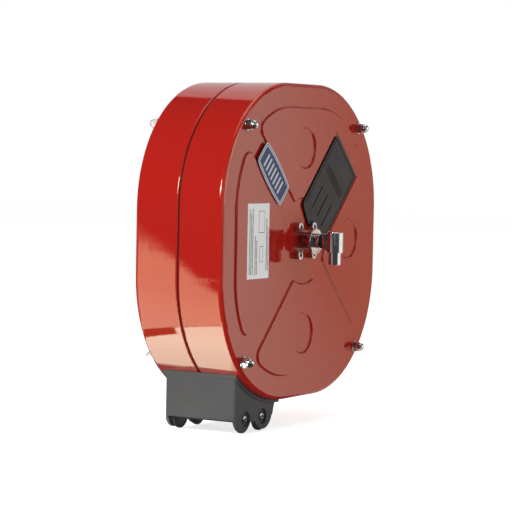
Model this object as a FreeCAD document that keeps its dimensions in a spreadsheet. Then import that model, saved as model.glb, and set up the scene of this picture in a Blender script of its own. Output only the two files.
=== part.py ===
import FreeCAD, Part
import math
import os
import re
import Sketcher
from FreeCAD import Placement, Rotation, Vector

# Enclosed wall hose reel with a spring rewind, in millimetres.
# It is drawn as seen from the front: a to the right, b up, and f forward from the wall, with f = 0 on
# the raised panels of the rear shell. UPRIGHT turns that drawing into the part's own frame, +Z up.
UPRIGHT = Rotation(Vector(1, 0, 0), 90)

# A text is a formula of the sheet: that size follows from the ones above it.
DRIVING = {
    # two pressed steel half shells
    "case_width": 440,
    "case_corner_radius": 175,
    "case_depth": 143,
    "case_edge_radius": 5.5,
    "sheet_wall": 1.5,
    "seam_gap": 2,
    "rim_width": 5,
    "rim_edge_radius": 2.2,
    "seal_inset": 2.5,
    "panel_rise": 2.5,
    "panel_inset": 33,
    "panel_slope": 2,
    "panel_skin_shift": 0.7,
    "valley_width": 35,
    "hub_land_radius": 60,
    "panel_outer_round": 15,
    "panel_inner_round": 8,
    "recess_radius": 27.5,
    "recess_distance": "=case_width / 2 - 90",
    "nut_relief_radius": 27.5,
    "nut_relief_round": 5,
    # clearances
    "fit_gap": 0.3,
    "run_gap": 0.05,
    # corner tie rods and their fasteners
    "tie_edge": 12.37,
    "tie_spacing": "=case_width - 2 * case_corner_radius + sqrt(2) * (case_corner_radius - tie_edge)",
    "tie_rod_radius": 4,
    "tie_hole_gap": 0.5,
    "tube_wall": 2.2,
    "washer_radius": 8,
    "washer_thickness": 1.6,
    "cap_nut_flats": 13,
    "cap_nut_hex_height": 6.5,
    "cap_nut_dome_radius": 6.1,
    "cap_nut_height": 15,
    "cap_nut_thread_depth": 11,
    # rear wall fixing
    "fixing_circle": 260,
    "fixing_hole_radius": 4.25,
    "weld_nut_flats": 14,
    "weld_nut_height": 6.5,
    "weld_nut_bore_radius": 4.25,
    # front bearing flange, its screws and bush
    "flange_width": 62,
    "flange_round": 10,
    "flange_thickness": 6,
    "housing_radius": 22,
    "housing_length": 7,
    "boss_radius": 12,
    "boss_rise": 16,
    "screw_pitch": 39,
    "screw_radius": 4,
    "screw_length": 12,
    "screw_head_radius": 6.5,
    "screw_head_height": 8,
    "screw_head_round": 0.8,
    "screw_socket_flats": 6,
    "screw_socket_depth": 4,
    "bush_wall": 1.5,
    "bush_rim_radius": 13.5,
    "bush_rim_thickness": 1.5,
    # fluid shaft, collar and swivel elbow
    "shaft_radius": 8.5,
    "shaft_bore_radius": 4.5,
    "shaft_reach": 37.7,
    "shaft_boss_radius": 13,
    "shaft_boss_length": 18,
    "shaft_flange_radius": 32,
    "shaft_flange_thickness": 5,
    "shaft_screw_circle": 46,
    "shaft_screw_radius": 2.5,
    "spigot_radius": 7.5,
    "spigot_length": 9.8,
    "seal_groove_width": 2,
    "seal_wire": 1.6,
    "collar_radius": 18.25,
    "collar_thickness": 4.5,
    "collar_reach": "=boss_rise + 1",
    "collar_edge": 0.8,
    "collar_rim_width": 2.5,
    "collar_face_depth": 0.8,
    "sleeve_radius": 10.8,
    "sleeve_length": 8,
    "dust_seal_wall": 1.2,
    "dust_seal_edge": 0.4,
    "dust_seal_gap": 0.2,
    "elbow_rim_radius": 14.5,
    "elbow_rim_thickness": 3,
    "elbow_neck_radius": 11,
    "elbow_radius": 12,
    "elbow_edge": 0.8,
    "elbow_reach": 50.4,
    "elbow_top": 13.7,
    "elbow_bottom": 15.4,
    "elbow_bore_radius": 5.5,
    "nipple_radius": 9,
    "nipple_length": 16.6,
    # drum
    "drum_width": "=case_depth - 41",
    "disc_radius": "=case_width / 2 - 22",
    "disc_wall": 1.5,
    "disc_curl": 4,
    "disc_ring_inner": 130,
    "disc_ring_outer": 150,
    "disc_ring_rise": 2.5,
    "barrel_radius": 100,
    "barrel_wall": 1.5,
    "hose_slot_angle": 40,
    "hose_slot_length": 58,
    "hose_slot_width": 26,
    "drum_bolt_circle": "=2 * (barrel_radius - 5.5)",
    "drum_bolt_count": 6,
    "drum_bolt_radius": 3,
    "drum_bolt_head_radius": 5.5,
    "drum_bolt_head_height": 1.4,
    "drum_nut_flats": 10,
    "drum_nut_height": 4,
    "drum_bolt_angle": 10,
    # fixed arbor and its backing
    "backing_radius": 52,
    "backing_thickness": 3,
    "arbor_flange_radius": 32,
    "arbor_flange_thickness": 6,
    "arbor_radius": 12,
    "arbor_journal_radius": 10,
    "arbor_journal_length": 8,
    "arbor_slot_width": 2,
    "rivet_circle": 48,
    "rivet_radius": 3,
    "rivet_head_radius": 5.2,
    "rivet_head_height": 2.2,
    "hub_radius": 28,
    "hub_length": 8,
    "rear_bush_rim_radius": 18,
    "journal_bush_wall": 3,
    # rewind spring and its case
    "spring_case_radius": "=barrel_radius - 10",
    "spring_case_length": 48,
    "strip_width": 33,
    "strip_thickness": 1.2,
    "inner_turn_step": 7.5,
    "inner_half_turns": 4,
    "outer_half_turns": 14,
    # water way inside the barrel
    "pipe_radius": 7,
    "pipe_bore_radius": 5,
    "pipe_forward": "=case_depth - 36",
    "pipe_bend_radius": 18,
    "pipe_bend_start": 44,
    "pipe_tail_start": 26,
    "tail_length": 29,
    "tail_hex_flats": 17,
    "tail_hex_height": 7,
    "tail_barb_radius": 7.8,
    "tail_core_radius": 6.6,
    # ratchet
    "ratchet_thickness": 5.5,
    "ratchet_bore_radius": 56,
    "ratchet_root_radius": 68,
    "ratchet_tip_radius": 74,
    "ratchet_teeth": 24,
    "tooth_face_angle": 248,
    "tooth_rake": 3.5,
    "ratchet_rivet_circle": 123,
    "ratchet_rivet_count": 6,
    "ratchet_rivet_radius": 2,
    "pawl_pivot_distance": 110,
    "pawl_boss_radius": 9,
    "pawl_thickness": 3.6,
    "pawl_lift_angle": 10,
    "nose_low_angle": 247,
    "nose_low_radius": 69.2,
    "nose_high_angle": 250.8,
    "nose_high_radius": 75.6,
    "heel_angle": 232,
    "heel_radius": 81,
    "stud_radius": 4,
    "stud_shoulder_radius": 6,
    "stud_base_radius": 9,
    "stud_base_thickness": 2,
    "clip_radius": 6.5,
    "clip_thickness": 1,
    "coil_radius": 7.4,
    "coil_wire_radius": 0.7,
    "coil_pitch": 1.6,
    "coil_turns": 3.5,
    "coil_leg": 14,
    # moulded hatch cover on the upper right diagonal
    "hatch_start": 31.3,
    "hatch_end": "=case_width / 2 - 49",
    "hatch_width": "=case_width / 2 - 135",
    "hatch_nose_start": 23,
    "hatch_nose_width": 22,
    "hatch_round": 8,
    "hatch_thickness": 3,
    "hatch_edge": 0.8,
    "hatch_seat_gap": 2,
    "hatch_opening_start": 64,
    "hatch_opening_length": "=hatch_end - hatch_opening_start - 15",
    "hatch_opening_width": "=hatch_width - 25",
    "hatch_tray_depth": 5,
    "hatch_groove_inset": 5,
    "hatch_groove_width": 1.4,
    "hatch_groove_depth": 0.8,
    "hatch_tray_wall": 2,
    "fine_groove_first": "=hatch_end - 59",
    "fine_groove_count": 4,
    "fine_groove_pitch": 3.3,
    "fine_groove_width": 1.3,
    "fine_groove_length": "=hatch_width - 25",
    "grip_slot_start": 48,
    "grip_slot_length": 42,
    "grip_slot_spacing": 19,
    "grip_slot_width": 2,
    "grip_slot_depth": 1.6,
    # badge and data label
    "badge_distance": "=case_width / 2 - 87",
    "badge_length": 89,
    "badge_width": 43,
    "badge_side_radius": 290,
    "badge_corner_round": 6,
    "badge_thickness": 2,
    "badge_line": 1.5,
    "badge_line_rise": 0.6,
    "label_left": "=case_width / 2 - 61",
    "label_bottom": 48,
    "label_width": 58,
    "label_height": 102,
    "label_thickness": 0.3,
    # moulded outlet with two flanged rollers
    "outlet_left": "=case_width / 2 - 63",
    "outlet_right_top": "=case_width / 2 - 172",
    "outlet_right_bottom": "=case_width / 2 - 164.5",
    "outlet_depth": "=case_depth - 31",
    "outlet_end_wall": 4.5,
    "outlet_side_wall": 3.5,
    "outlet_corner_round": 3,
    "lip_thickness": 4,
    "lip_overhang": 2.5,
    "lip_right_overhang": 6,
    "throat_left": "=case_width / 2 - 80.5",
    "throat_right": "=case_width / 2 - 157.5",
    "throat_depth": "=outlet_depth - 26",
    "throat_wall": 3,
    "clamp_width": 4,
    "clamp_thickness": 2.7,
    "roller_centre": "=case_width / 2 - 115.25",
    "roller_spacing": 45.5,
    "roller_radius": 19.5,
    "roller_height": "=case_width / 2 + roller_radius + 1.5",
    "roller_rim": 3,
    "roller_flare_radius": 12,
    "roller_waist_radius": 5.8,
    "roller_bore_gap": 0.08,
    "roller_dish_radius": 13.2,
    "roller_dish_depth": 3,
    "seat_radius": 11,
    "seat_depth": 4,
    "bolt_radius": 3,
    "bolt_head_radius": 5.2,
    "bolt_head_height": 3.3,
    "lock_nut_flats": 10,
    "lock_nut_height": 3.2,
    # the outlet's end plates, whose lobes hang below the rollers
    "outlet_bottom": "=roller_height",
    "lobe_web_bottom": "=roller_height + 5",
    "left_lobe_centre": "=roller_centre + 30.25",
    "left_lobe_height": "=roller_height - 5",
    "left_lobe_radius": 22,
    "right_lobe_centre": "=roller_centre - 24.25",
    "right_lobe_height": "=roller_height - 7",
    "right_lobe_radius": 24.5,
}

# Levels along f, as texts that the sheet works out
REAR_LAND = "panel_rise"
REAR_INSIDE = "(panel_rise + sheet_wall)"
FRONT_LAND = "(case_depth - panel_rise)"
FRONT_INSIDE = "(case_depth - panel_rise - sheet_wall)"
SEAM_REAR = "((case_depth - seam_gap) / 2)"
SEAM_FRONT = "((case_depth + seam_gap) / 2)"
DRUM_REAR = "((case_depth - drum_width) / 2)"
DRUM_FRONT = "((case_depth + drum_width) / 2)"
LAND_HEIGHT = "((case_depth - seam_gap) / 2 - panel_rise)"
HALF_TIE = "(tie_spacing / 2)"
HALF_WIDTH = "(case_width / 2)"
CORNER_CENTRE = "(case_width / 2 - case_corner_radius)"
DIAGONAL = "0.70710678"

doc = FreeCAD.newDocument("HoseReel")
sizes = doc.addObject("Spreadsheet::Sheet", "Sizes")
for row, (alias, value) in enumerate(DRIVING.items(), start=1):
    sizes.set(f"A{row}", alias)
    sizes.set(f"B{row}", str(value))
    sizes.setAlias(f"B{row}", alias)
doc.recompute()

nodes = {}


def bound(text):
    """A sheet formula in which each size is looked up in the sheet."""
    return re.sub(r"[a-z][a-z_]+", lambda word: "Sizes." + word[0] if word[0] in DRIVING else word[0], text)


def number(text):
    """The present value of a sheet formula."""
    return float(sizes.evalExpression(text))


def bind(item, **texts):
    for name, text in texts.items():
        item.setExpression(name, bound(text))


def put(item, place, turn):
    """Places an item at bound coordinates, turned by an angle about f or by a whole rotation."""
    rotation = turn if isinstance(turn, Rotation) else Rotation(Vector(0, 0, 1), turn)
    item.Placement = Placement(Vector(), rotation)
    for axis, text in zip("xyz", place):
        item.setExpression(f"Placement.Base.{axis}", bound(text))


def feature(body, kind, name, place=("0", "0", "0"), turn=0, **texts):
    """An additive or subtractive solid of a body."""
    item = body.newObject("PartDesign::" + kind, name)
    put(item, place, turn)
    bind(item, **texts)
    return item


def solid(kind, name, place=("0", "0", "0"), turn=0, **texts):
    """A free-standing primitive for the booleans."""
    item = doc.addObject("Part::" + kind, name)
    put(item, place, turn)
    bind(item, **texts)
    return item


def cut(name, base, *tools):
    item = doc.addObject("Part::Cut", name)
    item.Base = base
    item.Tool = tools[0] if len(tools) == 1 else fuse(name + "_tools", *tools)
    return item


def fuse(name, *shapes):
    item = doc.addObject("Part::MultiFuse", name)
    item.Shapes = list(shapes)
    return item


def common(name, *shapes):
    item = doc.addObject("Part::MultiCommon", name)
    item.Shapes = list(shapes)
    return item


def body_named(name):
    return doc.addObject("PartDesign::Body", name)


def origin_plane(body, role):
    return next(plane for plane in body.Origin.OriginFeatures if plane.Role == role)


def outline(body, name, points, role, level="0"):
    """A closed sketch of straight sides, each corner bound to the sheet."""
    sketch = body.newObject("Sketcher::SketchObject", name)
    sketch.AttachmentSupport = (origin_plane(body, role), [""])
    sketch.MapMode = "FlatFace"
    sketch.setExpression("AttachmentOffset.Base.z", bound(level))
    corners = [Vector(number(across), number(along), 0) for across, along in points]
    count = len(corners)
    for index, corner in enumerate(corners):
        sketch.addGeometry(Part.LineSegment(corner, corners[(index + 1) % count]))
    for index in range(count):
        sketch.addConstraint(Sketcher.Constraint("Coincident", index, 2, (index + 1) % count, 1))
    for index, corner in enumerate(corners):
        for kind, value, text in zip(("DistanceX", "DistanceY"), corner, points[index]):
            spot = sketch.addConstraint(Sketcher.Constraint(kind, -1, 1, index, 1, value))
            sketch.setExpression(f"Constraints[{spot}]", bound(text))
    return sketch


def prism(body, kind, name, points, level, height):
    """A Pad or Pocket of straight sides that runs forward from its level."""
    item = body.newObject("PartDesign::" + kind, name)
    item.Profile = outline(body, name + "_outline", points, "XY_Plane", level)
    item.Reversed = kind == "Pocket"
    bind(item, Length=height)
    return item


def turned(name, profile):
    """A body turned about f from a closed outline of radius and f."""
    body = body_named(name)
    item = body.newObject("PartDesign::Revolution", name + "_turned")
    item.Profile = outline(body, name + "_profile", profile, "XZ_Plane")
    item.ReferenceAxis = (item.Profile[0], ["V_Axis"])
    item.Angle = 360
    return body


def edges_where(item, test):
    doc.recompute([item])
    return [f"Edge{index}" for index, edge in enumerate(item.Shape.Edges, start=1) if test(edge)]


def dress(body, kind, name, base, radius, edges):
    """A fillet or chamfer on named edges of the body's last feature."""
    item = body.newObject("PartDesign::" + kind, name)
    item.Base = (base, edges)
    bind(item, **{"Radius" if kind == "Fillet" else "Size": radius})
    return item


def is_upright(edge):
    return len(edge.Vertexes) == 2 and abs(edge.tangentAt(edge.FirstParameter).z) > 0.99


def keep(item, label, place=("0", "0", "0"), turn=UPRIGHT):
    """Names a finished sub-part and sets it in the part's own frame."""
    item.Label = label
    put(item, place, turn)
    nodes[label] = item
    return item


def copies(label, source, spots, turn=0):
    """Identical fasteners in one node, as separate solids at bound spots (a, b, f)."""
    links = []
    for index, spot in enumerate(spots, start=1):
        link = doc.addObject("App::Link", f"{label}_{index}")
        link.LinkedObject = source
        put(link, spot, turn)
        links.append(link)
    group = doc.addObject("Part::Compound", label + "_group")
    group.Links = links
    return keep(group, label)


def corner_spots(half, level):
    return [(f"{x} * {half}", f"{y} * {half}", level) for x in (-1, 1) for y in (-1, 1)]


def circle_spots(diameter, count, first_angle, level):
    turns = range(round(number(count)))
    angles = [f"({first_angle} + {index} * 360 / {count})" for index in turns]
    return [(f"{diameter} / 2 * cos({angle})", f"{diameter} / 2 * sin({angle})", level) for angle in angles]


BACKWARD = Rotation(Vector(0, 1, 0), 180)


# Half shells

def rounded_block(body, name, half, radius, low, high):
    """A rounded square block, centred on the drum axis."""
    block = feature(
        body, "AdditiveBox", name, (f"-{half}", f"-{half}", low),
        Length=f"2 * {half}", Width=f"2 * {half}", Height=f"{high} - {low}",
    )
    reach = number(half)
    corners = edges_where(
        block,
        lambda edge: is_upright(edge)
        and abs(abs(edge.Vertexes[0].X) - reach) < 0.01
        and abs(abs(edge.Vertexes[0].Y) - reach) < 0.01,
    )
    return dress(body, "Fillet", name + "_corners", block, radius, corners)


def round_rim(body, name, base, level, radius):
    """Rounds the outer edge of a block at one level."""
    height = number(level)
    rim = edges_where(
        base,
        lambda edge: all(abs(vertex.Z - height) < 0.01 for vertex in edge.Vertexes)
        and abs(edge.CenterOfMass.z - height) < 0.01,
    )
    return dress(body, "Fillet", name, base, radius, rim)


def valley(body, name, turn, level, skin, start):
    """Cuts a diagonal valley between the raised panels."""
    half = f"(valley_width / 2 + {skin})"
    across, along = math.sin(math.radians(turn)), math.cos(math.radians(turn))
    return feature(
        body, "SubtractiveBox", name,
        (f"{half} * {across:.8f} + {start} * {along:.8f}",
         f"-{half} * {along:.8f} + {start} * {across:.8f}", level),
        turn, Length="case_width", Width=f"2 * {half}", Height="case_depth",
    )


def pressed_block(name, wall, skin, is_front):
    """The pressing as a full solid: its outer face, or the space inside it, one sheet further in."""
    body = body_named(name + "_box")
    top = f"({LAND_HEIGHT} - {wall})"
    if wall == "0":
        block = rounded_block(body, name + "_block", HALF_WIDTH, "case_corner_radius", "0", top)
        block = round_rim(body, name + "_seam_round", block, "0", "rim_edge_radius")
    else:
        rounded_block(
            body, name + "_mouth", f"({HALF_WIDTH} - rim_width)", "case_corner_radius - rim_width",
            "(-sheet_wall)", "(2 * sheet_wall)",
        )
        block = rounded_block(
            body, name + "_block", f"({HALF_WIDTH} - {wall})", f"case_corner_radius - {wall}",
            wall, top,
        )
    round_rim(body, name + "_face_round", block, top, f"case_edge_radius - {wall}")
    return fuse(name, body, raised_panels(name, top, skin, is_front))


def raised_panels(name, top, skin, is_front):
    """The panels that stand up from the land between the valleys, with sloped rims."""
    body = body_named(name + "_panels")
    low = f"({top} - sheet_wall)"
    rounded_block(
        body, name + "_panel_blank", f"({HALF_WIDTH} - panel_inset - {skin})",
        f"case_corner_radius - panel_inset - {skin}", low, f"({top} + panel_rise)",
    )
    valley(body, name + "_valley_falling", -45, low, skin, "(-case_width / 2)")
    last = valley(body, name + "_valley_rising", 225, low, skin, "0" if is_front else "(-case_width / 2)")
    reliefs = {"hub_land": ("0", "0", "hub_land_radius")}
    if is_front:
        reliefs["top_recess"] = ("0", "recess_distance", "recess_radius")
        reliefs["right_recess"] = ("recess_distance", "0", "recess_radius")
        reliefs["bottom_recess"] = ("0", "-recess_distance", "recess_radius")
        reliefs["nut_relief"] = (HALF_TIE, HALF_TIE, "nut_relief_radius")
    for relief, (across, along, radius) in reliefs.items():
        last = feature(
            body, "SubtractiveCylinder", f"{name}_{relief}", (across, along, low),
            Radius=f"{radius} + {skin}", Height="case_depth",
        )
    if is_front:
        half = f"(hatch_width / 2 + hatch_seat_gap + {skin})"
        last = feature(
            body, "SubtractiveBox", name + "_hatch_seat", (*along_diagonal("hatch_start", f"-{half}"), low), 45,
            Length=f"hatch_end - hatch_start + hatch_seat_gap + {skin}", Width=f"2 * {half}", Height="case_depth",
        )
    last = round_panel_corners(body, name, last, skin)
    height = number(f"{top} + panel_rise")
    doc.recompute([last])
    faces = [
        f"Face{index}" for index, face in enumerate(last.Shape.Faces, start=1)
        if face.BoundBox.ZLength < 0.01 and abs(face.CenterOfMass.z - height) < 0.01
    ]
    dress(body, "Chamfer", name + "_slopes", last, "panel_slope", faces)
    return body


def round_panel_corners(body, name, base, skin):
    """Rounds the plan corners of the panels: large ones outside, small ones at the hub and the relief."""
    side = number(f"valley_width / 2 + {skin}")
    hub = number(f"hub_land_radius + {skin}")
    spot = number(HALF_TIE)
    relief = number(f"nut_relief_radius + {skin}")
    diagonal = number(DIAGONAL)

    def valley_corner(edge):
        """How far a panel corner beside a valley lies from the drum axis."""
        point = edge.Vertexes[0]
        across = min(abs(point.X - point.Y), abs(point.X + point.Y)) * diagonal
        return math.hypot(point.X, point.Y) if is_upright(edge) and abs(across - side) < 0.01 else 0

    outer = edges_where(base, lambda edge: valley_corner(edge) > 2 * hub)
    last = dress(body, "Fillet", name + "_outer_rounds", base, f"panel_outer_round - {skin}", outer)
    inner = edges_where(last, lambda edge: abs(valley_corner(edge) - hub) < 0.01)
    last = dress(body, "Fillet", name + "_inner_rounds", last, f"panel_inner_round - {skin}", inner)
    beside_nut = edges_where(
        last,
        lambda edge: is_upright(edge)
        and abs(math.hypot(edge.Vertexes[0].X - spot, edge.Vertexes[0].Y - spot) - relief) < 0.01,
    )
    if beside_nut:
        last = dress(body, "Fillet", name + "_relief_rounds", last, "nut_relief_round", beside_nut)
    return last


def outlet_slot(name, is_front):
    """The half slot for the outlet's throat, open at the seam; the rear shell is drawn turned about b."""
    left = "(-throat_left - fit_gap)" if is_front else "(throat_right - fit_gap)"
    return solid(
        "Box", name, (left, "-case_width", "-seam_gap"),
        Length="throat_left - throat_right + 2 * fit_gap", Width=f"case_width - {CORNER_CENTRE}",
        Height="(throat_depth + seam_gap) / 2 + fit_gap",
    )


def half_shell(label, is_front):
    outside = pressed_block(label + "_outside", "0", "0", is_front)
    inside = pressed_block(label + "_inside", "sheet_wall", "panel_skin_shift", is_front)
    holes = [
        solid("Cylinder", f"{label}_tie_hole_{index}", spot,
              Radius="tie_rod_radius + tie_hole_gap", Height="case_depth")
        for index, spot in enumerate(corner_spots(HALF_TIE, LAND_HEIGHT + " - case_depth / 4"), start=1)
    ]
    holes.append(outlet_slot(label + "_slot", is_front))
    holes += front_holes(label) if is_front else rear_holes(label)
    shell = cut(label + "_sheet", outside, inside, *holes)
    if is_front:
        keep(shell, label, ("0", f"-{SEAM_FRONT}", "0"))
    else:
        keep(shell, label, ("0", f"-{SEAM_REAR}", "0"), Rotation(Vector(0, 0, 1), 180) * UPRIGHT)


def front_holes(label):
    level = f"({LAND_HEIGHT} - case_depth / 4)"
    hub = solid("Cylinder", label + "_hub_hole", ("0", "0", level),
                Radius="boss_radius + fit_gap", Height="case_depth")
    screws = [
        solid("Cylinder", f"{label}_screw_hole_{index}", spot, Radius="screw_radius + fit_gap", Height="case_depth")
        for index, spot in enumerate(corner_spots("screw_pitch / 2", level), start=1)
    ]
    half = "(hatch_opening_width / 2)"
    opening = solid(
        "Box", label + "_hatch_opening",
        (f"(hatch_opening_start + {half}) * {DIAGONAL}", f"(hatch_opening_start - {half}) * {DIAGONAL}", level),
        45, Length="hatch_opening_length", Width="hatch_opening_width", Height="case_depth",
    )
    return [hub, opening, *screws]


def rear_holes(label):
    level = f"({LAND_HEIGHT} - case_depth / 4)"
    fixings = [
        solid("Cylinder", f"{label}_fixing_hole_{index}", spot, Radius="fixing_hole_radius", Height="case_depth")
        for index, spot in enumerate(circle_spots("fixing_circle", "4", "0", level), start=1)
    ]
    rivets = [
        solid("Cylinder", f"{label}_rivet_hole_{index}", spot, Radius="rivet_radius + run_gap", Height="case_depth")
        for index, spot in enumerate(circle_spots("rivet_circle", "4", "45", level), start=1)
    ]
    return [*fixings, *rivets]


def seam_seal():
    """Rubber strip between the two rims, open where the outlet passes through the seam."""
    body = body_named("seal_ring")
    rounded_block(body, "seal_outer", f"({HALF_WIDTH} - seal_inset)", "case_corner_radius - seal_inset",
                  SEAM_REAR, SEAM_FRONT)
    hollow = body_named("seal_hollow")
    rounded_block(hollow, "seal_inner", f"({HALF_WIDTH} - rim_width + fit_gap)",
                  "case_corner_radius - rim_width + fit_gap", f"({SEAM_REAR} - 1)", f"({SEAM_FRONT} + 1)")
    gap = solid(
        "Box", "seal_gap", ("-throat_left - 2 * fit_gap", "-case_width", "0"),
        Length="throat_left - throat_right + 4 * fit_gap", Width=f"case_width - {CORNER_CENTRE}",
        Height="case_depth",
    )
    keep(cut("seal", body, hollow, gap), "seam_seal")


# Corner ties

def cap_nut():
    """Domed nut with a blind thread, standing on the plane f = 0."""
    body = body_named("cap_nut")
    feature(body, "AdditivePrism", "cap_nut_hex",
            Circumradius="cap_nut_flats / sqrt(3)", Height="cap_nut_hex_height")
    feature(body, "AdditiveCylinder", "cap_nut_neck", Radius="cap_nut_dome_radius",
            Height="cap_nut_height - cap_nut_dome_radius")
    feature(body, "AdditiveSphere", "cap_nut_dome", ("0", "0", "cap_nut_height - cap_nut_dome_radius"),
            Radius="cap_nut_dome_radius")
    feature(body, "SubtractiveCylinder", "cap_nut_thread", Radius="tie_rod_radius + run_gap",
            Height="cap_nut_thread_depth")
    return body


def tie_hardware():
    nut = cap_nut()
    washer = turned("tie_washer", [
        ("tie_rod_radius + 2 * run_gap", "0"), ("washer_radius", "0"),
        ("washer_radius", "washer_thickness"), ("tie_rod_radius + 2 * run_gap", "washer_thickness"),
    ])
    front_nut_level = f"{FRONT_LAND} + washer_thickness"
    rear_nut_level = f"{REAR_LAND} - washer_thickness"
    copies("front_cap_nuts", nut, corner_spots(HALF_TIE, front_nut_level))
    copies("rear_cap_nuts", nut, corner_spots(HALF_TIE, rear_nut_level), BACKWARD)
    copies("front_washers", washer, corner_spots(HALF_TIE, FRONT_LAND))
    copies("rear_washers", washer, corner_spots(HALF_TIE, REAR_LAND), BACKWARD)
    rod_end = "(washer_thickness + cap_nut_thread_depth - fit_gap)"
    rod = solid("Cylinder", "tie_rod", Radius="tie_rod_radius",
                Height=f"{FRONT_LAND} - {REAR_LAND} + 2 * {rod_end}")
    copies("tie_rods", rod, corner_spots(HALF_TIE, f"{REAR_LAND} - {rod_end}"))
    tube = turned("spacer_tube", [
        ("tie_rod_radius + fit_gap", REAR_INSIDE), ("tie_rod_radius + fit_gap + tube_wall", REAR_INSIDE),
        ("tie_rod_radius + fit_gap + tube_wall", FRONT_INSIDE), ("tie_rod_radius + fit_gap", FRONT_INSIDE),
    ])
    copies("spacer_tubes", tube, corner_spots(HALF_TIE, "0"))


def wall_fixing():
    body = body_named("weld_nut")
    feature(body, "AdditivePrism", "weld_nut_hex", Circumradius="weld_nut_flats / sqrt(3)", Height="weld_nut_height")
    feature(body, "SubtractiveCylinder", "weld_nut_thread", Radius="weld_nut_bore_radius", Height="weld_nut_height")
    copies("weld_nuts", body, circle_spots("fixing_circle", "4", "0", "sheet_wall"))


# Front hub and water inlet

def bearing_flange():
    """Cast flange behind the front land: square plate, boss through the sheet, housing for the bush."""
    body = body_named("flange_casting")
    plate = feature(
        body, "AdditiveBox", "flange_plate",
        ("-flange_width / 2", "-flange_width / 2", f"{FRONT_INSIDE} - flange_thickness"),
        Length="flange_width", Width="flange_width", Height="flange_thickness",
    )
    dress(body, "Fillet", "flange_corners", plate, "flange_round", edges_where(plate, is_upright))
    feature(body, "AdditiveCylinder", "flange_boss", ("0", "0", f"{FRONT_INSIDE} - 1"),
            Radius="boss_radius", Height="sheet_wall + boss_rise + 1")
    housing_start = f"({FRONT_INSIDE} - flange_thickness - housing_length)"
    feature(body, "AdditiveCylinder", "flange_housing", ("0", "0", housing_start),
            Radius="housing_radius", Height="housing_length + 1")
    feature(body, "SubtractiveCylinder", "flange_bore", ("0", "0", housing_start),
            Radius="shaft_radius + run_gap + bush_wall", Height="case_depth")
    for index, spot in enumerate(corner_spots("screw_pitch / 2", "case_depth / 2"), start=1):
        feature(body, "SubtractiveCylinder", f"flange_thread_{index}", spot, Radius="screw_radius",
                Height="case_depth")
    keep(body, "bearing_flange")
    bore = "shaft_radius + run_gap"
    tube = f"{bore} + bush_wall"
    front = f"{FRONT_LAND} + boss_rise"
    bush = turned("front_bush_turned", [
        (bore, f"{housing_start} - bush_rim_thickness"),
        ("bush_rim_radius", f"{housing_start} - bush_rim_thickness"),
        ("bush_rim_radius", housing_start), (tube, housing_start), (tube, front), (bore, front),
    ])
    keep(bush, "front_bush")


def flange_screws():
    """Socket head screws, drawn with the head's seat on f = 0."""
    body = body_named("flange_screw")
    feature(body, "AdditiveCylinder", "flange_screw_head", Radius="screw_head_radius", Height="screw_head_height")
    feature(body, "AdditiveCylinder", "flange_screw_shank", ("0", "0", "-screw_length"),
            Radius="screw_radius", Height="screw_length + 1")
    head = feature(
        body, "SubtractivePrism", "flange_screw_socket", ("0", "0", "screw_head_height - screw_socket_depth"),
        Circumradius="screw_socket_flats / sqrt(3)", Height="2 * screw_socket_depth",
    )
    radius = number("screw_head_radius")
    top = number("screw_head_height")
    rim = edges_where(
        head,
        lambda edge: isinstance(edge.Curve, Part.Circle) and abs(edge.Curve.Radius - radius) < 0.01
        and abs(edge.CenterOfMass.z - top) < 0.01,
    )
    dress(body, "Fillet", "flange_screw_round", head, "screw_head_round", rim)
    copies("flange_screws", body, corner_spots("screw_pitch / 2", FRONT_LAND))


def fluid_shaft():
    """Hollow shaft that turns with the drum and carries the water from the elbow to the feed pipe."""
    flange_front = f"({DRUM_FRONT} - disc_wall)"
    flange_rear = f"({flange_front} - shaft_flange_thickness)"
    boss_rear = f"({flange_rear} - shaft_boss_length)"
    shoulder = f"({FRONT_LAND} + shaft_reach)"
    tip = f"({shoulder} + spigot_length)"
    bore_end = f"({boss_rear} + 6)"
    body = turned("fluid_shaft_turned", [
        ("0", boss_rear), ("shaft_boss_radius", boss_rear), ("shaft_boss_radius", flange_rear),
        ("shaft_flange_radius", flange_rear), ("shaft_flange_radius", flange_front),
        ("shaft_radius", flange_front), ("shaft_radius", shoulder),
        ("spigot_radius", shoulder), ("spigot_radius", tip), ("shaft_bore_radius", tip),
        ("shaft_bore_radius", bore_end), ("0", bore_end),
    ])
    feature(
        body, "SubtractiveCylinder", "fluid_shaft_port", ("0", "0", "pipe_forward"),
        Rotation(Vector(0, 1, 0), 90), Radius="pipe_radius", Height="shaft_boss_radius + 1",
    )
    for index, spot in enumerate(circle_spots("shaft_screw_circle", "4", "45", flange_rear), start=1):
        feature(body, "SubtractiveCylinder", f"fluid_shaft_screw_hole_{index}", spot,
                Radius="shaft_screw_radius + run_gap", Height="2 * shaft_flange_thickness")
    for index, start in enumerate(("spigot_length * 0.3", "spigot_length * 0.6"), start=1):
        level = f"({shoulder} + {start})"
        floor = "(spigot_radius - seal_wire)"
        groove = body.newObject("PartDesign::Groove", f"fluid_shaft_groove_{index}")
        groove.Profile = outline(body, f"fluid_shaft_groove_{index}_outline", [
            (floor, level), ("spigot_radius + 1", level),
            ("spigot_radius + 1", f"{level} + seal_groove_width"), (floor, f"{level} + seal_groove_width"),
        ], "XZ_Plane")
        groove.ReferenceAxis = (groove.Profile[0], ["V_Axis"])
        groove.Angle = 360
    keep(body, "fluid_shaft")
    ring = solid("Torus", "swivel_seal", Radius1="spigot_radius - seal_wire / 2", Radius2="seal_wire / 2")
    copies("swivel_seals", ring, [
        ("0", "0", f"{shoulder} + {start} + seal_groove_width / 2")
        for start in ("spigot_length * 0.3", "spigot_length * 0.6")
    ])


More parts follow.
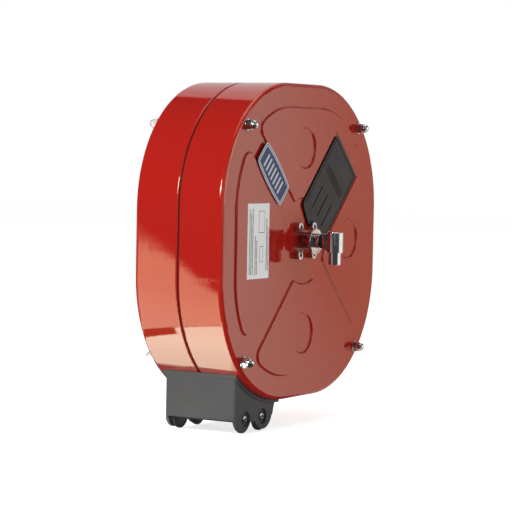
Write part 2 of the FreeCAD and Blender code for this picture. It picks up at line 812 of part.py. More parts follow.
def swivel_collar():
    """Polished ring with a sunk face and a sleeve, on the shaft between the case and the elbow."""
    low = f"({FRONT_LAND} + collar_reach)"
    high = f"({low} + collar_thickness)"
    face = f"({high} - collar_face_depth)"
    end = f"({high} + sleeve_length)"
    bore = "shaft_radius"
    edge = "collar_edge"
    ledge = "(collar_radius - collar_rim_width)"
    body = turned("swivel_collar_turned", [
        (bore, low), (f"collar_radius - {edge}", low), ("collar_radius", f"{low} + {edge}"),
        ("collar_radius", f"{high} - {edge}"), (f"collar_radius - {edge}", high),
        (ledge, high), (f"{ledge} - collar_face_depth", face), ("sleeve_radius", face),
        ("sleeve_radius", f"{end} - {edge}"), (f"sleeve_radius - {edge}", end), (bore, end),
    ])
    keep(body, "swivel_collar")


def dust_seal():
    """Rubber ring stretched on the shaft, from the collar's sleeve to just short of the elbow's rim."""
    low = f"({FRONT_LAND} + collar_reach + collar_thickness + sleeve_length + dust_seal_gap)"
    high = f"({FRONT_LAND} + shaft_reach - dust_seal_gap)"
    outer = "(shaft_radius + dust_seal_wall)"
    body = turned("dust_seal_turned", [
        ("shaft_radius", low), (f"{outer} - dust_seal_edge", low), (outer, f"{low} + dust_seal_edge"),
        (outer, f"{high} - dust_seal_edge"), (f"{outer} - dust_seal_edge", high), ("shaft_radius", high),
    ])
    keep(body, "dust_seal")


def inlet_elbow():
    """Swivel elbow: a rim and neck over the shaft's spigot, an upright block and a nipple below it."""
    rear = f"({FRONT_LAND} + shaft_reach + fit_gap)"
    axis = f"({FRONT_LAND} + elbow_reach)"
    upright = Rotation(Vector(1, 0, 0), -90)
    neck = turned("elbow_neck", [
        ("0", rear), ("elbow_rim_radius", rear), ("elbow_rim_radius", f"{rear} + elbow_rim_thickness"),
        ("elbow_neck_radius", f"{rear} + elbow_rim_thickness"), ("elbow_neck_radius", axis), ("0", axis),
    ])
    chamfer = "elbow_edge"
    column = turned("elbow_column", [
        ("0", "-elbow_bottom - nipple_length"), (f"nipple_radius - {chamfer}", "-elbow_bottom - nipple_length"),
        ("nipple_radius", f"-elbow_bottom - nipple_length + {chamfer}"), ("nipple_radius", "-elbow_bottom"),
        (f"elbow_radius - {chamfer}", "-elbow_bottom"), ("elbow_radius", f"-elbow_bottom + {chamfer}"),
        ("elbow_radius", f"elbow_top - {chamfer}"), (f"elbow_radius - {chamfer}", "elbow_top"), ("0", "elbow_top"),
    ])
    put(column, ("0", "0", axis), upright)
    spigot_bore = solid("Cylinder", "elbow_spigot_bore", ("0", "0", f"{rear} - 1"),
                        Radius="spigot_radius + run_gap", Height="spigot_length + 1 + fit_gap")
    cross_bore = solid("Cylinder", "elbow_cross_bore", ("0", "0", rear),
                       Radius="shaft_bore_radius", Height=f"{axis} - {rear}")
    water_bore = solid("Cylinder", "elbow_water_bore", ("0", "-elbow_bottom - nipple_length - 1", axis), upright,
                       Radius="elbow_bore_radius", Height="elbow_bottom + nipple_length + 1 + elbow_bore_radius")
    block = fuse("elbow_block", neck, column)
    keep(cut("elbow", block, spigot_bore, cross_bore, water_bore), "inlet_elbow")


# Drum

def drum_disc(label, face, inward, hub_hole):
    """Drum disc of sheet: stiffening ring and curled rim, both standing away from the hose."""
    def level(depth):
        return f"({face} + ({inward}) * ({depth}))"
    slope = "disc_ring_rise"
    nook = "(disc_wall * 0.41421356)"
    body = turned(label + "_turned", [
        (hub_hole, level("0")),
        ("disc_ring_inner", level("0")),
        (f"disc_ring_inner + {slope}", level("-disc_ring_rise")),
        (f"disc_ring_outer - {slope}", level("-disc_ring_rise")),
        ("disc_ring_outer", level("0")),
        ("disc_radius - disc_wall", level("0")),
        ("disc_radius - disc_wall", level("-disc_curl")),
        ("disc_radius", level("-disc_curl")),
        ("disc_radius", level("disc_wall")),
        (f"disc_ring_outer + {nook}", level("disc_wall")),
        (f"disc_ring_outer + {nook} - {slope}", level("disc_wall - disc_ring_rise")),
        (f"disc_ring_inner - {nook} + {slope}", level("disc_wall - disc_ring_rise")),
        (f"disc_ring_inner - {nook}", level("disc_wall")),
        (hub_hole, level("disc_wall")),
    ])
    return body


def drum():
    front = drum_disc("drum_front_disc", DRUM_FRONT, "-1", "shaft_radius + fit_gap")
    rear = drum_disc("drum_rear_disc", DRUM_REAR, "1", "arbor_radius + run_gap + journal_bush_wall")
    bolt_hole = "drum_bolt_radius + run_gap"
    for index, spot in enumerate(circle_spots("drum_bolt_circle", "drum_bolt_count", "drum_bolt_angle", "0"), 1):
        for disc, name in ((front, "front"), (rear, "rear")):
            feature(disc, "SubtractiveCylinder", f"{name}_disc_bolt_hole_{index}", spot,
                    Radius=bolt_hole, Height="case_depth")
    for index, spot in enumerate(circle_spots("shaft_screw_circle", "4", "45", "0"), start=1):
        feature(front, "SubtractiveCylinder", f"front_disc_screw_hole_{index}", spot,
                Radius="shaft_screw_radius + run_gap", Height="case_depth")
    for index, spot in enumerate(
            circle_spots("ratchet_rivet_circle", "ratchet_rivet_count", "0", "0"), start=1):
        feature(rear, "SubtractiveCylinder", f"rear_disc_rivet_hole_{index}", spot,
                Radius="ratchet_rivet_radius + run_gap", Height="case_depth")
    keep(front, "drum_front_disc")
    keep(rear, "drum_rear_disc")
    barrel_body()
    drum_bolts()


def barrel_body():
    """Rolled barrel with the slot through which the hose reaches its tail."""
    low = f"({DRUM_REAR} + disc_wall)"
    high = f"({DRUM_FRONT} - disc_wall)"
    body = turned("barrel_turned", [
        ("barrel_radius - barrel_wall", low), ("barrel_radius", low),
        ("barrel_radius", high), ("barrel_radius - barrel_wall", high),
    ])
    angle = "hose_slot_angle"
    turn = number(angle)
    slot = feature(
        body, "SubtractiveBox", "hose_slot",
        (f"barrel_radius * 0.7 * cos({angle}) + hose_slot_length / 2 * sin({angle})",
         f"barrel_radius * 0.7 * sin({angle}) - hose_slot_length / 2 * cos({angle})",
         "pipe_forward - hose_slot_width / 2"),
        turn, Length="barrel_radius", Width="hose_slot_length", Height="hose_slot_width",
    )
    slot.setExpression("Placement.Rotation.Angle", bound(angle))
    keep(body, "drum_barrel")


def drum_bolts():
    """Long bolts through the drum; their rear heads are low, so that the pawl passes behind them."""
    bolt = body_named("drum_bolt")
    feature(bolt, "AdditiveCylinder", "drum_bolt_head", ("0", "0", "-drum_bolt_head_height"),
            Radius="drum_bolt_head_radius", Height="drum_bolt_head_height")
    feature(bolt, "AdditiveCylinder", "drum_bolt_shank", ("0", "0", "-drum_bolt_head_height / 2"),
            Radius="drum_bolt_radius", Height="drum_width + drum_nut_height + drum_bolt_head_height")
    nut = body_named("drum_nut")
    feature(nut, "AdditivePrism", "drum_nut_hex", Circumradius="drum_nut_flats / sqrt(3)", Height="drum_nut_height")
    feature(nut, "SubtractiveCylinder", "drum_nut_bore",
            Radius="drum_bolt_radius + run_gap", Height="drum_nut_height")
    copies("drum_tie_bolts", bolt,
           circle_spots("drum_bolt_circle", "drum_bolt_count", "drum_bolt_angle", DRUM_REAR))
    copies("drum_tie_nuts", nut,
           circle_spots("drum_bolt_circle", "drum_bolt_count", "drum_bolt_angle", DRUM_FRONT))


def shaft_screws():
    """Screws that hold the shaft's flange to the front disc, heads on the flange."""
    body = body_named("shaft_screw")
    feature(body, "AdditiveCylinder", "shaft_screw_head", ("0", "0", "-shaft_screw_radius"),
            Radius="shaft_screw_radius * 1.8", Height="shaft_screw_radius")
    feature(body, "AdditiveCylinder", "shaft_screw_shank", ("0", "0", "-shaft_screw_radius / 2"),
            Radius="shaft_screw_radius", Height="shaft_screw_radius / 2 + shaft_flange_thickness + disc_wall")
    level = f"{DRUM_FRONT} - disc_wall - shaft_flange_thickness"
    copies("shaft_flange_screws", body, circle_spots("shaft_screw_circle", "4", "45", level))


# Fixed arbor, hub and bushes

def arbor():
    start = f"({REAR_INSIDE} + backing_thickness)"
    flange_front = f"({start} + arbor_flange_thickness)"
    case_front = f"({DRUM_REAR} + disc_wall + spring_case_length)"
    journal_start = f"({case_front} - 4)"
    journal_end = f"({journal_start} + arbor_journal_length)"
    backing = body_named("backing_plate_disc")
    feature(backing, "AdditiveCylinder", "backing_blank", ("0", "0", REAR_INSIDE),
            Radius="backing_radius", Height="backing_thickness")
    shaft = turned("arbor_turned", [
        ("0", start), ("arbor_flange_radius", start), ("arbor_flange_radius", flange_front),
        ("arbor_radius", flange_front), ("arbor_radius", journal_start),
        ("arbor_journal_radius", journal_start), ("arbor_journal_radius", journal_end), ("0", journal_end),
    ])
    for index, spot in enumerate(circle_spots("rivet_circle", "4", "45", "0"), start=1):
        for body, name in ((backing, "backing"), (shaft, "arbor")):
            feature(body, "SubtractiveCylinder", f"{name}_rivet_hole_{index}", spot,
                    Radius="rivet_radius + run_gap", Height=flange_front)
    feature(
        shaft, "SubtractiveBox", "arbor_slot",
        ("-arbor_slot_width / 2", "0", f"{journal_start} - strip_width - 2"),
        Length="arbor_slot_width", Width="arbor_radius + 1", Height="strip_width",
    )
    keep(backing, "rear_backing_plate")
    keep(shaft, "fixed_arbor")
    rivet = body_named("arbor_rivet")
    grip = f"({flange_front} - {REAR_LAND})"
    feature(rivet, "AdditiveCylinder", "arbor_rivet_shank", Radius="rivet_radius", Height=grip)
    feature(rivet, "AdditiveCone", "arbor_rivet_tail", ("0", "0", "-rivet_head_height"),
            Radius1="rivet_head_radius * 0.7", Radius2="rivet_head_radius", Height="rivet_head_height")
    feature(rivet, "AdditiveCone", "arbor_rivet_head", ("0", "0", grip),
            Radius1="rivet_head_radius", Radius2="rivet_head_radius * 0.7", Height="rivet_head_height")
    copies("arbor_rivets", rivet, circle_spots("rivet_circle", "4", "45", REAR_LAND))


def drum_hub():
    """Hub on the rear disc with its bush, and the bush in the spring case's front wall."""
    disc_front = f"({DRUM_REAR} + disc_wall)"
    bore = "(arbor_radius + run_gap + journal_bush_wall)"
    hub = turned("drum_hub_turned", [
        (bore, disc_front), ("hub_radius * 1.4", disc_front), ("hub_radius * 1.4", f"{disc_front} + hub_length / 3"),
        ("hub_radius", f"{disc_front} + hub_length / 3"), ("hub_radius", f"{disc_front} + hub_length"),
        (bore, f"{disc_front} + hub_length"),
    ])
    keep(hub, "drum_hub")
    inner = "arbor_radius + run_gap"
    rim_rear = f"({DRUM_REAR} - bush_rim_thickness)"
    rear_bush = turned("rear_bush_turned", [
        (inner, rim_rear), ("rear_bush_rim_radius", rim_rear), ("rear_bush_rim_radius", DRUM_REAR),
        (bore, DRUM_REAR), (bore, f"{disc_front} + hub_length"), (inner, f"{disc_front} + hub_length"),
    ])
    keep(rear_bush, "rear_bush")
    wall_front = f"({disc_front} + spring_case_length)"
    wall_rear = f"({wall_front} - barrel_wall)"
    inner = "arbor_journal_radius + run_gap"
    outer = f"({inner} + journal_bush_wall)"
    journal_bush = turned("journal_bush_turned", [
        (inner, f"{wall_rear} - bush_rim_thickness"),
        (f"{outer} + journal_bush_wall", f"{wall_rear} - bush_rim_thickness"),
        (f"{outer} + journal_bush_wall", wall_rear), (outer, wall_rear),
        (outer, f"{wall_front} + fit_gap"), (inner, f"{wall_front} + fit_gap"),
    ])
    keep(journal_bush, "journal_bush")
    case = turned("spring_case_turned", [
        (outer, wall_rear), ("spring_case_radius - barrel_wall", wall_rear),
        ("spring_case_radius - barrel_wall", disc_front), ("spring_case_radius", disc_front),
        ("spring_case_radius", wall_front), (outer, wall_front),
    ])
    keep(case, "spring_case")


def spiral_strip():
    """The face of the wound strip: half turns whose centres step from side to side, so they join smoothly."""
    half_strip = number("strip_thickness / 2")
    first = number("arbor_radius + fit_gap + strip_thickness / 2")
    last = number("spring_case_radius - barrel_wall - strip_thickness / 2")
    inner_count = round(number("inner_half_turns"))
    outer_count = round(number("outer_half_turns"))
    inner_step = number("inner_turn_step")
    outer_step = (last - first - inner_count * inner_step) / outer_count
    steps = [inner_step] * inner_count + [outer_step] * outer_count
    print(f"power spring: least gap between turns {min(inner_step, outer_step) * 2 - 2 * half_strip:.2f} mm")
    radius, centre, side = first, 0.0, 1
    outer_arcs, inner_arcs = [], []
    for step in [0, *steps]:
        radius += step
        centre -= side * step
        for arcs, offset in ((outer_arcs, half_strip), (inner_arcs, -half_strip)):
            reach = radius + offset
            arcs.append(Part.Arc(
                Vector(centre + side * reach, 0, 0), Vector(centre, side * reach, 0),
                Vector(centre - side * reach, 0, 0),
            ).toShape())
        side = -side
    ends = [
        Part.makeLine(inner_arcs[0].Vertexes[0].Point, outer_arcs[0].Vertexes[0].Point),
        Part.makeLine(outer_arcs[-1].Vertexes[-1].Point, inner_arcs[-1].Vertexes[-1].Point),
    ]
    return Part.Face(Part.Wire(Part.__sortEdges__([*outer_arcs, *inner_arcs, *ends])))


def power_spring():
    item = doc.addObject("Part::Feature", "spiral_spring")
    start = number(f"{DRUM_REAR} + disc_wall + spring_case_length - barrel_wall - 2 - strip_width")
    face = spiral_strip()
    face.translate(Vector(0, 0, start))
    item.Shape = face.extrude(Vector(0, 0, number("strip_width")))
    keep(item, "power_spring")


# Water way inside the barrel

def pipe_run(name, radius):
    """Bent tube from the shaft's boss: outwards, round the bend and along the hose's way in."""
    across = Rotation(Vector(0, 1, 0), 90)
    along = Rotation(Vector(1, 0, 0), -90)
    start = solid("Cylinder", name + "_start", ("shaft_bore_radius + 1", "0", "pipe_forward"), across,
                  Radius=radius, Height="pipe_bend_start - shaft_bore_radius - 1")
    bend = solid("Torus", name + "_bend", ("pipe_bend_start", "pipe_bend_radius", "pipe_forward"), -90,
                 Radius1="pipe_bend_radius", Radius2=radius, Angle3="90")
    end = solid("Cylinder", name + "_end",
                ("pipe_bend_start + pipe_bend_radius", "pipe_bend_radius", "pipe_forward"), along,
                Radius=radius, Height="pipe_tail_start - pipe_bend_radius")
    return fuse(name, start, bend, end)


def water_way():
    keep(cut("feed_pipe_tube", pipe_run("feed_pipe_outside", "pipe_radius"),
             pipe_run("feed_pipe_bore", "pipe_bore_radius")), "feed_pipe")
    hexagon = "tail_hex_height"
    pitch = "((tail_length - tail_hex_height - 4) / 4)"
    core_start = f"({hexagon} + 3)"
    profile = [("pipe_bore_radius", "0"), ("tail_barb_radius", "0"), ("tail_barb_radius", hexagon),
               ("tail_core_radius", hexagon), ("tail_core_radius", core_start)]
    for ring in range(4):
        low = f"({core_start} + {ring} * {pitch})"
        profile.append(("tail_barb_radius", low))
        profile.append(("tail_core_radius", f"{low} + {pitch} * 0.9"))
    profile.append(("tail_core_radius", "tail_length"))
    profile.append(("pipe_bore_radius", "tail_length"))
    tail = turned("hose_tail_turned", profile)
    feature(tail, "AdditivePrism", "hose_tail_hex", Circumradius="tail_hex_flats / sqrt(3)", Height=hexagon)
    feature(tail, "SubtractiveCylinder", "hose_tail_bore", ("0", "0", "-1"),
            Radius="pipe_bore_radius", Height="tail_length + 2")
    keep(tail, "hose_tail",
         ("pipe_bend_start + pipe_bend_radius", "-pipe_forward", "pipe_tail_start"), Rotation())


# Ratchet

def polar(radius, angle):
    return (f"{radius} * cos({angle})", f"{radius} * sin({angle})")


def ratchet_ring():
    """Saw-toothed ring on the back of the drum; its steep faces lie square to the arm of the engaged pawl."""
    body = body_named("ratchet")
    level = f"({DRUM_REAR} - ratchet_thickness)"
    feature(body, "AdditiveCylinder", "ratchet_blank", ("0", "0", level),
            Radius="ratchet_root_radius", Height="ratchet_thickness")
    pitch = "360 / ratchet_teeth"
    tooth = prism(body, "Pad", "ratchet_tooth", [
        polar("(ratchet_root_radius - 2)", "tooth_face_angle"),
        polar("ratchet_root_radius", "tooth_face_angle"),
        polar("ratchet_tip_radius", "(tooth_face_angle + tooth_rake)"),
        polar("ratchet_root_radius", f"(tooth_face_angle + {pitch})"),
        polar("(ratchet_root_radius - 2)", f"(tooth_face_angle + {pitch})"),
    ], level, "ratchet_thickness")
    doc.recompute()
    teeth = body.newObject("PartDesign::PolarPattern", "ratchet_teeth_round")
    teeth.Originals = [tooth]
    teeth.Axis = (origin_line(body, "Z_Axis"), [""])
    teeth.Angle = 360
    bind(teeth, Occurrences="ratchet_teeth")
    body.Tip = teeth
    doc.recompute()
    feature(body, "SubtractiveCylinder", "ratchet_bore", ("0", "0", level),
            Radius="ratchet_bore_radius", Height="ratchet_thickness")
    for index, spot in enumerate(
            circle_spots("ratchet_rivet_circle", "ratchet_rivet_count", "0", level), start=1):
        feature(body, "SubtractiveCylinder", f"ratchet_rivet_hole_{index}", spot,
                Radius="ratchet_rivet_radius + run_gap", Height="ratchet_thickness")
    keep(body, "ratchet_ring")
    rivet = body_named("ratchet_rivet")
    grip = "(ratchet_thickness + disc_wall)"
    crown, brim = "ratchet_rivet_radius * 1.3", "ratchet_rivet_radius * 1.8"
    feature(rivet, "AdditiveCylinder", "ratchet_rivet_shank", Radius="ratchet_rivet_radius", Height=grip)
    feature(rivet, "AdditiveCone", "ratchet_rivet_rear_head", ("0", "0", "-ratchet_rivet_radius / 2"),
            Radius1=crown, Radius2=brim, Height="ratchet_rivet_radius / 2")
    feature(rivet, "AdditiveCone", "ratchet_rivet_front_head", ("0", "0", grip),
            Radius1=brim, Radius2=crown, Height="ratchet_rivet_radius / 2")
    copies("ratchet_rivets", rivet, circle_spots("ratchet_rivet_circle", "ratchet_rivet_count", "0", level))


def origin_line(body, role):
    return next(line for line in body.Origin.OriginFeatures if line.Role == role)


def pawl():
    """Pawl drawn engaged about its pivot, then lifted clear of the teeth about the stud."""
    pivot_a = f"(-pawl_pivot_distance * {DIAGONAL})"
    low = polar("nose_low_radius", "nose_low_angle")
    high = polar("nose_high_radius", "nose_high_angle")
    heel = polar("heel_radius", "heel_angle")
    body = body_named("pawl_plate")
    points = [
        (f"{spot[0]} - {pivot_a}", f"{spot[1]} - {pivot_a}")
        for spot in (high, low, heel)
    ]
    points.append(("pawl_boss_radius * 0.4", "pawl_boss_radius * 0.9"))
    points.append(("0", "0"))
    points.append(("pawl_boss_radius * 0.1", "-pawl_boss_radius * 0.99"))
    prism(body, "Pad", "pawl_arm", points, "0", "pawl_thickness")
    feature(body, "AdditiveCylinder", "pawl_boss", Radius="pawl_boss_radius", Height="pawl_thickness")
    feature(body, "SubtractiveCylinder", "pawl_bore", Radius="stud_radius + run_gap", Height="pawl_thickness")
    level = f"({DRUM_REAR} - ratchet_thickness - fit_gap)"
    keep(body, "ratchet_pawl", (pivot_a, f"-{level}", pivot_a),
         UPRIGHT * Rotation(Vector(0, 0, 1), -number("pawl_lift_angle")))
    shoulder = f"({level} - run_gap)"
    clip_low = f"({level} + pawl_thickness + run_gap)"
    clip_high = f"({clip_low} + clip_thickness)"
    stud = turned("pawl_stud_turned", [
        ("0", REAR_INSIDE), ("stud_base_radius", REAR_INSIDE),
        ("stud_base_radius", f"{REAR_INSIDE} + stud_base_thickness"),
        ("stud_shoulder_radius", f"{REAR_INSIDE} + stud_base_thickness"), ("stud_shoulder_radius", shoulder),
        ("stud_radius", shoulder), ("stud_radius", clip_high), ("0", clip_high),
    ])
    keep(stud, "pawl_stud", (pivot_a, "0", pivot_a))
    clip = turned("pawl_clip_turned", [
        ("stud_radius", clip_low), ("clip_radius", clip_low),
        ("clip_radius", clip_high), ("stud_radius", clip_high),
    ])
    keep(clip, "pawl_clip", (pivot_a, "0", pivot_a))


def pawl_spring():
    """Torsion coil round the stud, its legs running on straight from both ends of the helix."""
    radius = number("coil_radius")
    pitch = number("coil_pitch")
    height = pitch * number("coil_turns")
    helix = Part.makeHelix(pitch, height, radius).Edges[0]
    start = helix.valueAt(helix.FirstParameter)
    end = helix.valueAt(helix.LastParameter)
    first = helix.tangentAt(helix.FirstParameter)
    last = helix.tangentAt(helix.LastParameter)
    leg = number("coil_leg")
    tail = start - first * leg
    spine = Part.Wire([Part.makeLine(tail, start), helix, Part.makeLine(end, end + last * leg)])
    ring = Part.Wire(Part.makeCircle(number("coil_wire_radius"), tail, first))
    item = doc.addObject("Part::Feature", "pawl_coil")
    item.Shape = spine.makePipeShell([ring], True, True)
    pivot = f"(-pawl_pivot_distance * {DIAGONAL})"
    level = f"({DRUM_REAR} - ratchet_thickness - fit_gap - coil_wire_radius - coil_pitch * (coil_turns + 0.5))"
    keep(item, "pawl_spring", (pivot, f"-{level}", pivot))


# Covers and plates on the front

def along_diagonal(distance, across):
    """The spot at a distance along the upper right diagonal and a width across it."""
    return (f"(({distance}) - ({across})) * {DIAGONAL}", f"(({distance}) + ({across})) * {DIAGONAL}")


def diagonal_box(body, kind, name, start, across, level, **texts):
    return feature(body, kind, name, (*along_diagonal(start, across), level), 45, **texts)


def hatch_cover():
    """Moulded service cover: plate in its pressed seat, grooves, grip slots and a tray in the opening."""
    body = body_named("hatch")
    half = "(hatch_width / 2)"
    corners = [
        ("hatch_nose_start", "-hatch_nose_width / 2"), ("hatch_start", f"-{half}"), ("hatch_end", f"-{half}"),
        ("hatch_end", half), ("hatch_start", half), ("hatch_nose_start", "hatch_nose_width / 2"),
    ]
    plate = prism(body, "Pad", "hatch_plate", [along_diagonal(*corner) for corner in corners],
                  FRONT_LAND, "hatch_thickness")
    rounds = edges_where(plate, is_upright)
    plate = dress(body, "Fillet", "hatch_corners", plate, "hatch_round", rounds)
    top = number(f"{FRONT_LAND} + hatch_thickness")
    rim = edges_where(plate, lambda edge: all(abs(vertex.Z - top) < 0.01 for vertex in edge.Vertexes))
    dress(body, "Chamfer", "hatch_edge_round", plate, "hatch_edge", rim)
    inset = "hatch_groove_inset"
    groove_half = f"({half} - {inset})"
    long_side = f"hatch_end - hatch_start - 2 * {inset}"
    groove = {"Height": "hatch_thickness", "Width": "hatch_groove_width"}
    floor = f"{FRONT_LAND} + hatch_thickness - hatch_groove_depth"
    for name, start, across, length in (
            ("left", f"hatch_start + {inset}", groove_half, long_side),
            ("right", f"hatch_start + {inset}", f"(-{groove_half} - hatch_groove_width)", long_side)):
        diagonal_box(body, "SubtractiveBox", f"hatch_groove_{name}", start, across, floor, Length=length, **groove)
    diagonal_box(
        body, "SubtractiveBox", "hatch_groove_end", f"hatch_end - {inset} - hatch_groove_width",
        f"(-{groove_half} - hatch_groove_width)", floor,
        Length="hatch_groove_width", Width=f"2 * ({groove_half} + hatch_groove_width)", Height="hatch_thickness",
    )
    for index in range(round(number("fine_groove_count"))):
        diagonal_box(
            body, "SubtractiveBox", f"hatch_fine_groove_{index + 1}",
            f"fine_groove_first + {index} * fine_groove_pitch", "(-fine_groove_length / 2)", floor,
            Length="fine_groove_width", Width="fine_groove_length", Height="hatch_thickness",
        )
    for index, side in enumerate((-1, 0, 1), start=1):
        diagonal_box(
            body, "SubtractiveBox", f"hatch_grip_slot_{index}", "grip_slot_start",
            f"{side} * grip_slot_spacing - grip_slot_width / 2",
            f"{FRONT_LAND} + hatch_thickness - grip_slot_depth",
            Length="grip_slot_length", Width="grip_slot_width", Height="hatch_thickness",
        )
    tray_half = "(hatch_opening_width / 2 - fit_gap)"
    tray_level = f"{FRONT_LAND} - hatch_tray_depth"
    diagonal_box(
        body, "AdditiveBox", "hatch_tray", "hatch_opening_start + fit_gap", f"(-{tray_half})", tray_level,
        Length="hatch_opening_length - 2 * fit_gap", Width=f"2 * {tray_half}", Height="hatch_tray_depth + 1",
    )
    diagonal_box(
        body, "SubtractiveBox", "hatch_tray_hollow", "hatch_opening_start + fit_gap + hatch_tray_wall",
        f"(-{tray_half} + hatch_tray_wall)", tray_level,
        Length="hatch_opening_length - 2 * (fit_gap + hatch_tray_wall)",
        Width=f"2 * ({tray_half} - hatch_tray_wall)", Height="hatch_tray_depth",
    )
    screw = "screw_pitch / 2"
    feature(body, "SubtractiveCylinder", "hatch_screw_relief", (screw, screw, FRONT_INSIDE),
            Radius="screw_head_radius + 1", Height="case_depth")
    keep(body, "hatch_cover")


def barrel_block(name, inset, low):
    """A block along the upper left diagonal with bulging long sides, inset from the badge's outline."""
    length = f"(badge_length - 2 * {inset})"
    near = f"(badge_distance - {length} / 2)"
    shift = "(badge_side_radius - badge_width / 2)"
    box = solid(
        "Box", name + "_box",
        (f"(badge_width - {near}) * {DIAGONAL}", f"(badge_width + {near}) * {DIAGONAL}", low),
        135, Length=length, Width="2 * badge_width", Height="badge_thickness",
    )
    right, left = (
        solid("Cylinder", f"{name}_{word}_side",
              (f"({side} * {shift} - badge_distance) * {DIAGONAL}",
               f"({side} * {shift} + badge_distance) * {DIAGONAL}", low),
              Radius=f"badge_side_radius - {inset}", Height="badge_thickness")
        for word, side in (("right", -1), ("left", 1))
    )
    blank = common(name + "_blank", common(name + "_half", box, right), left)
    radius = number(f"badge_corner_round - {inset}")
    rounded = doc.addObject("Part::Fillet", name)
    rounded.Base = blank
    doc.recompute()
    rounded.Edges = [
        (index, radius, radius) for index, edge in enumerate(blank.Shape.Edges, start=1) if is_upright(edge)
    ]
    return rounded


def badge_plate():
    """Enamelled plaque across the upper left valley, two raised lines round its blank field."""
    face = "case_depth + badge_thickness - badge_line_rise"
    between = cut("badge_between", barrel_block("badge_first_line", "badge_line", face),
                  barrel_block("badge_second_line", "2 * badge_line", face))
    field = barrel_block("badge_field", "3 * badge_line", face)
    keep(cut("badge", barrel_block("badge_outside", "0", "case_depth"), between, field), "badge_plate")


def data_label():
    item = solid("Box", "label_sheet", Length="label_width", Width="label_height", Height="label_thickness")
    keep(item, "data_label", ("-label_left", "-case_depth", "-label_bottom"))


# Outlet

def case_cylinder(name, radius):
    return solid("Cylinder", name, (f"-{CORNER_CENTRE}", f"-{CORNER_CENTRE}", "-case_depth"),
                 Radius=radius, Height="3 * case_depth")


def outlet_box(name, left, right, depth):
    """A block under the case's lower left corner, centred on the seam."""
    return solid(
        "Box", name, (f"-{left}", "-case_width", f"(case_depth - {depth}) / 2"),
        Length=f"{left} - {right}", Width="case_width", Height=depth,
    )


def roller_spots(level):
    return [(f"-roller_centre - {side} * roller_spacing / 2", "-roller_height", level) for side in (1, -1)]


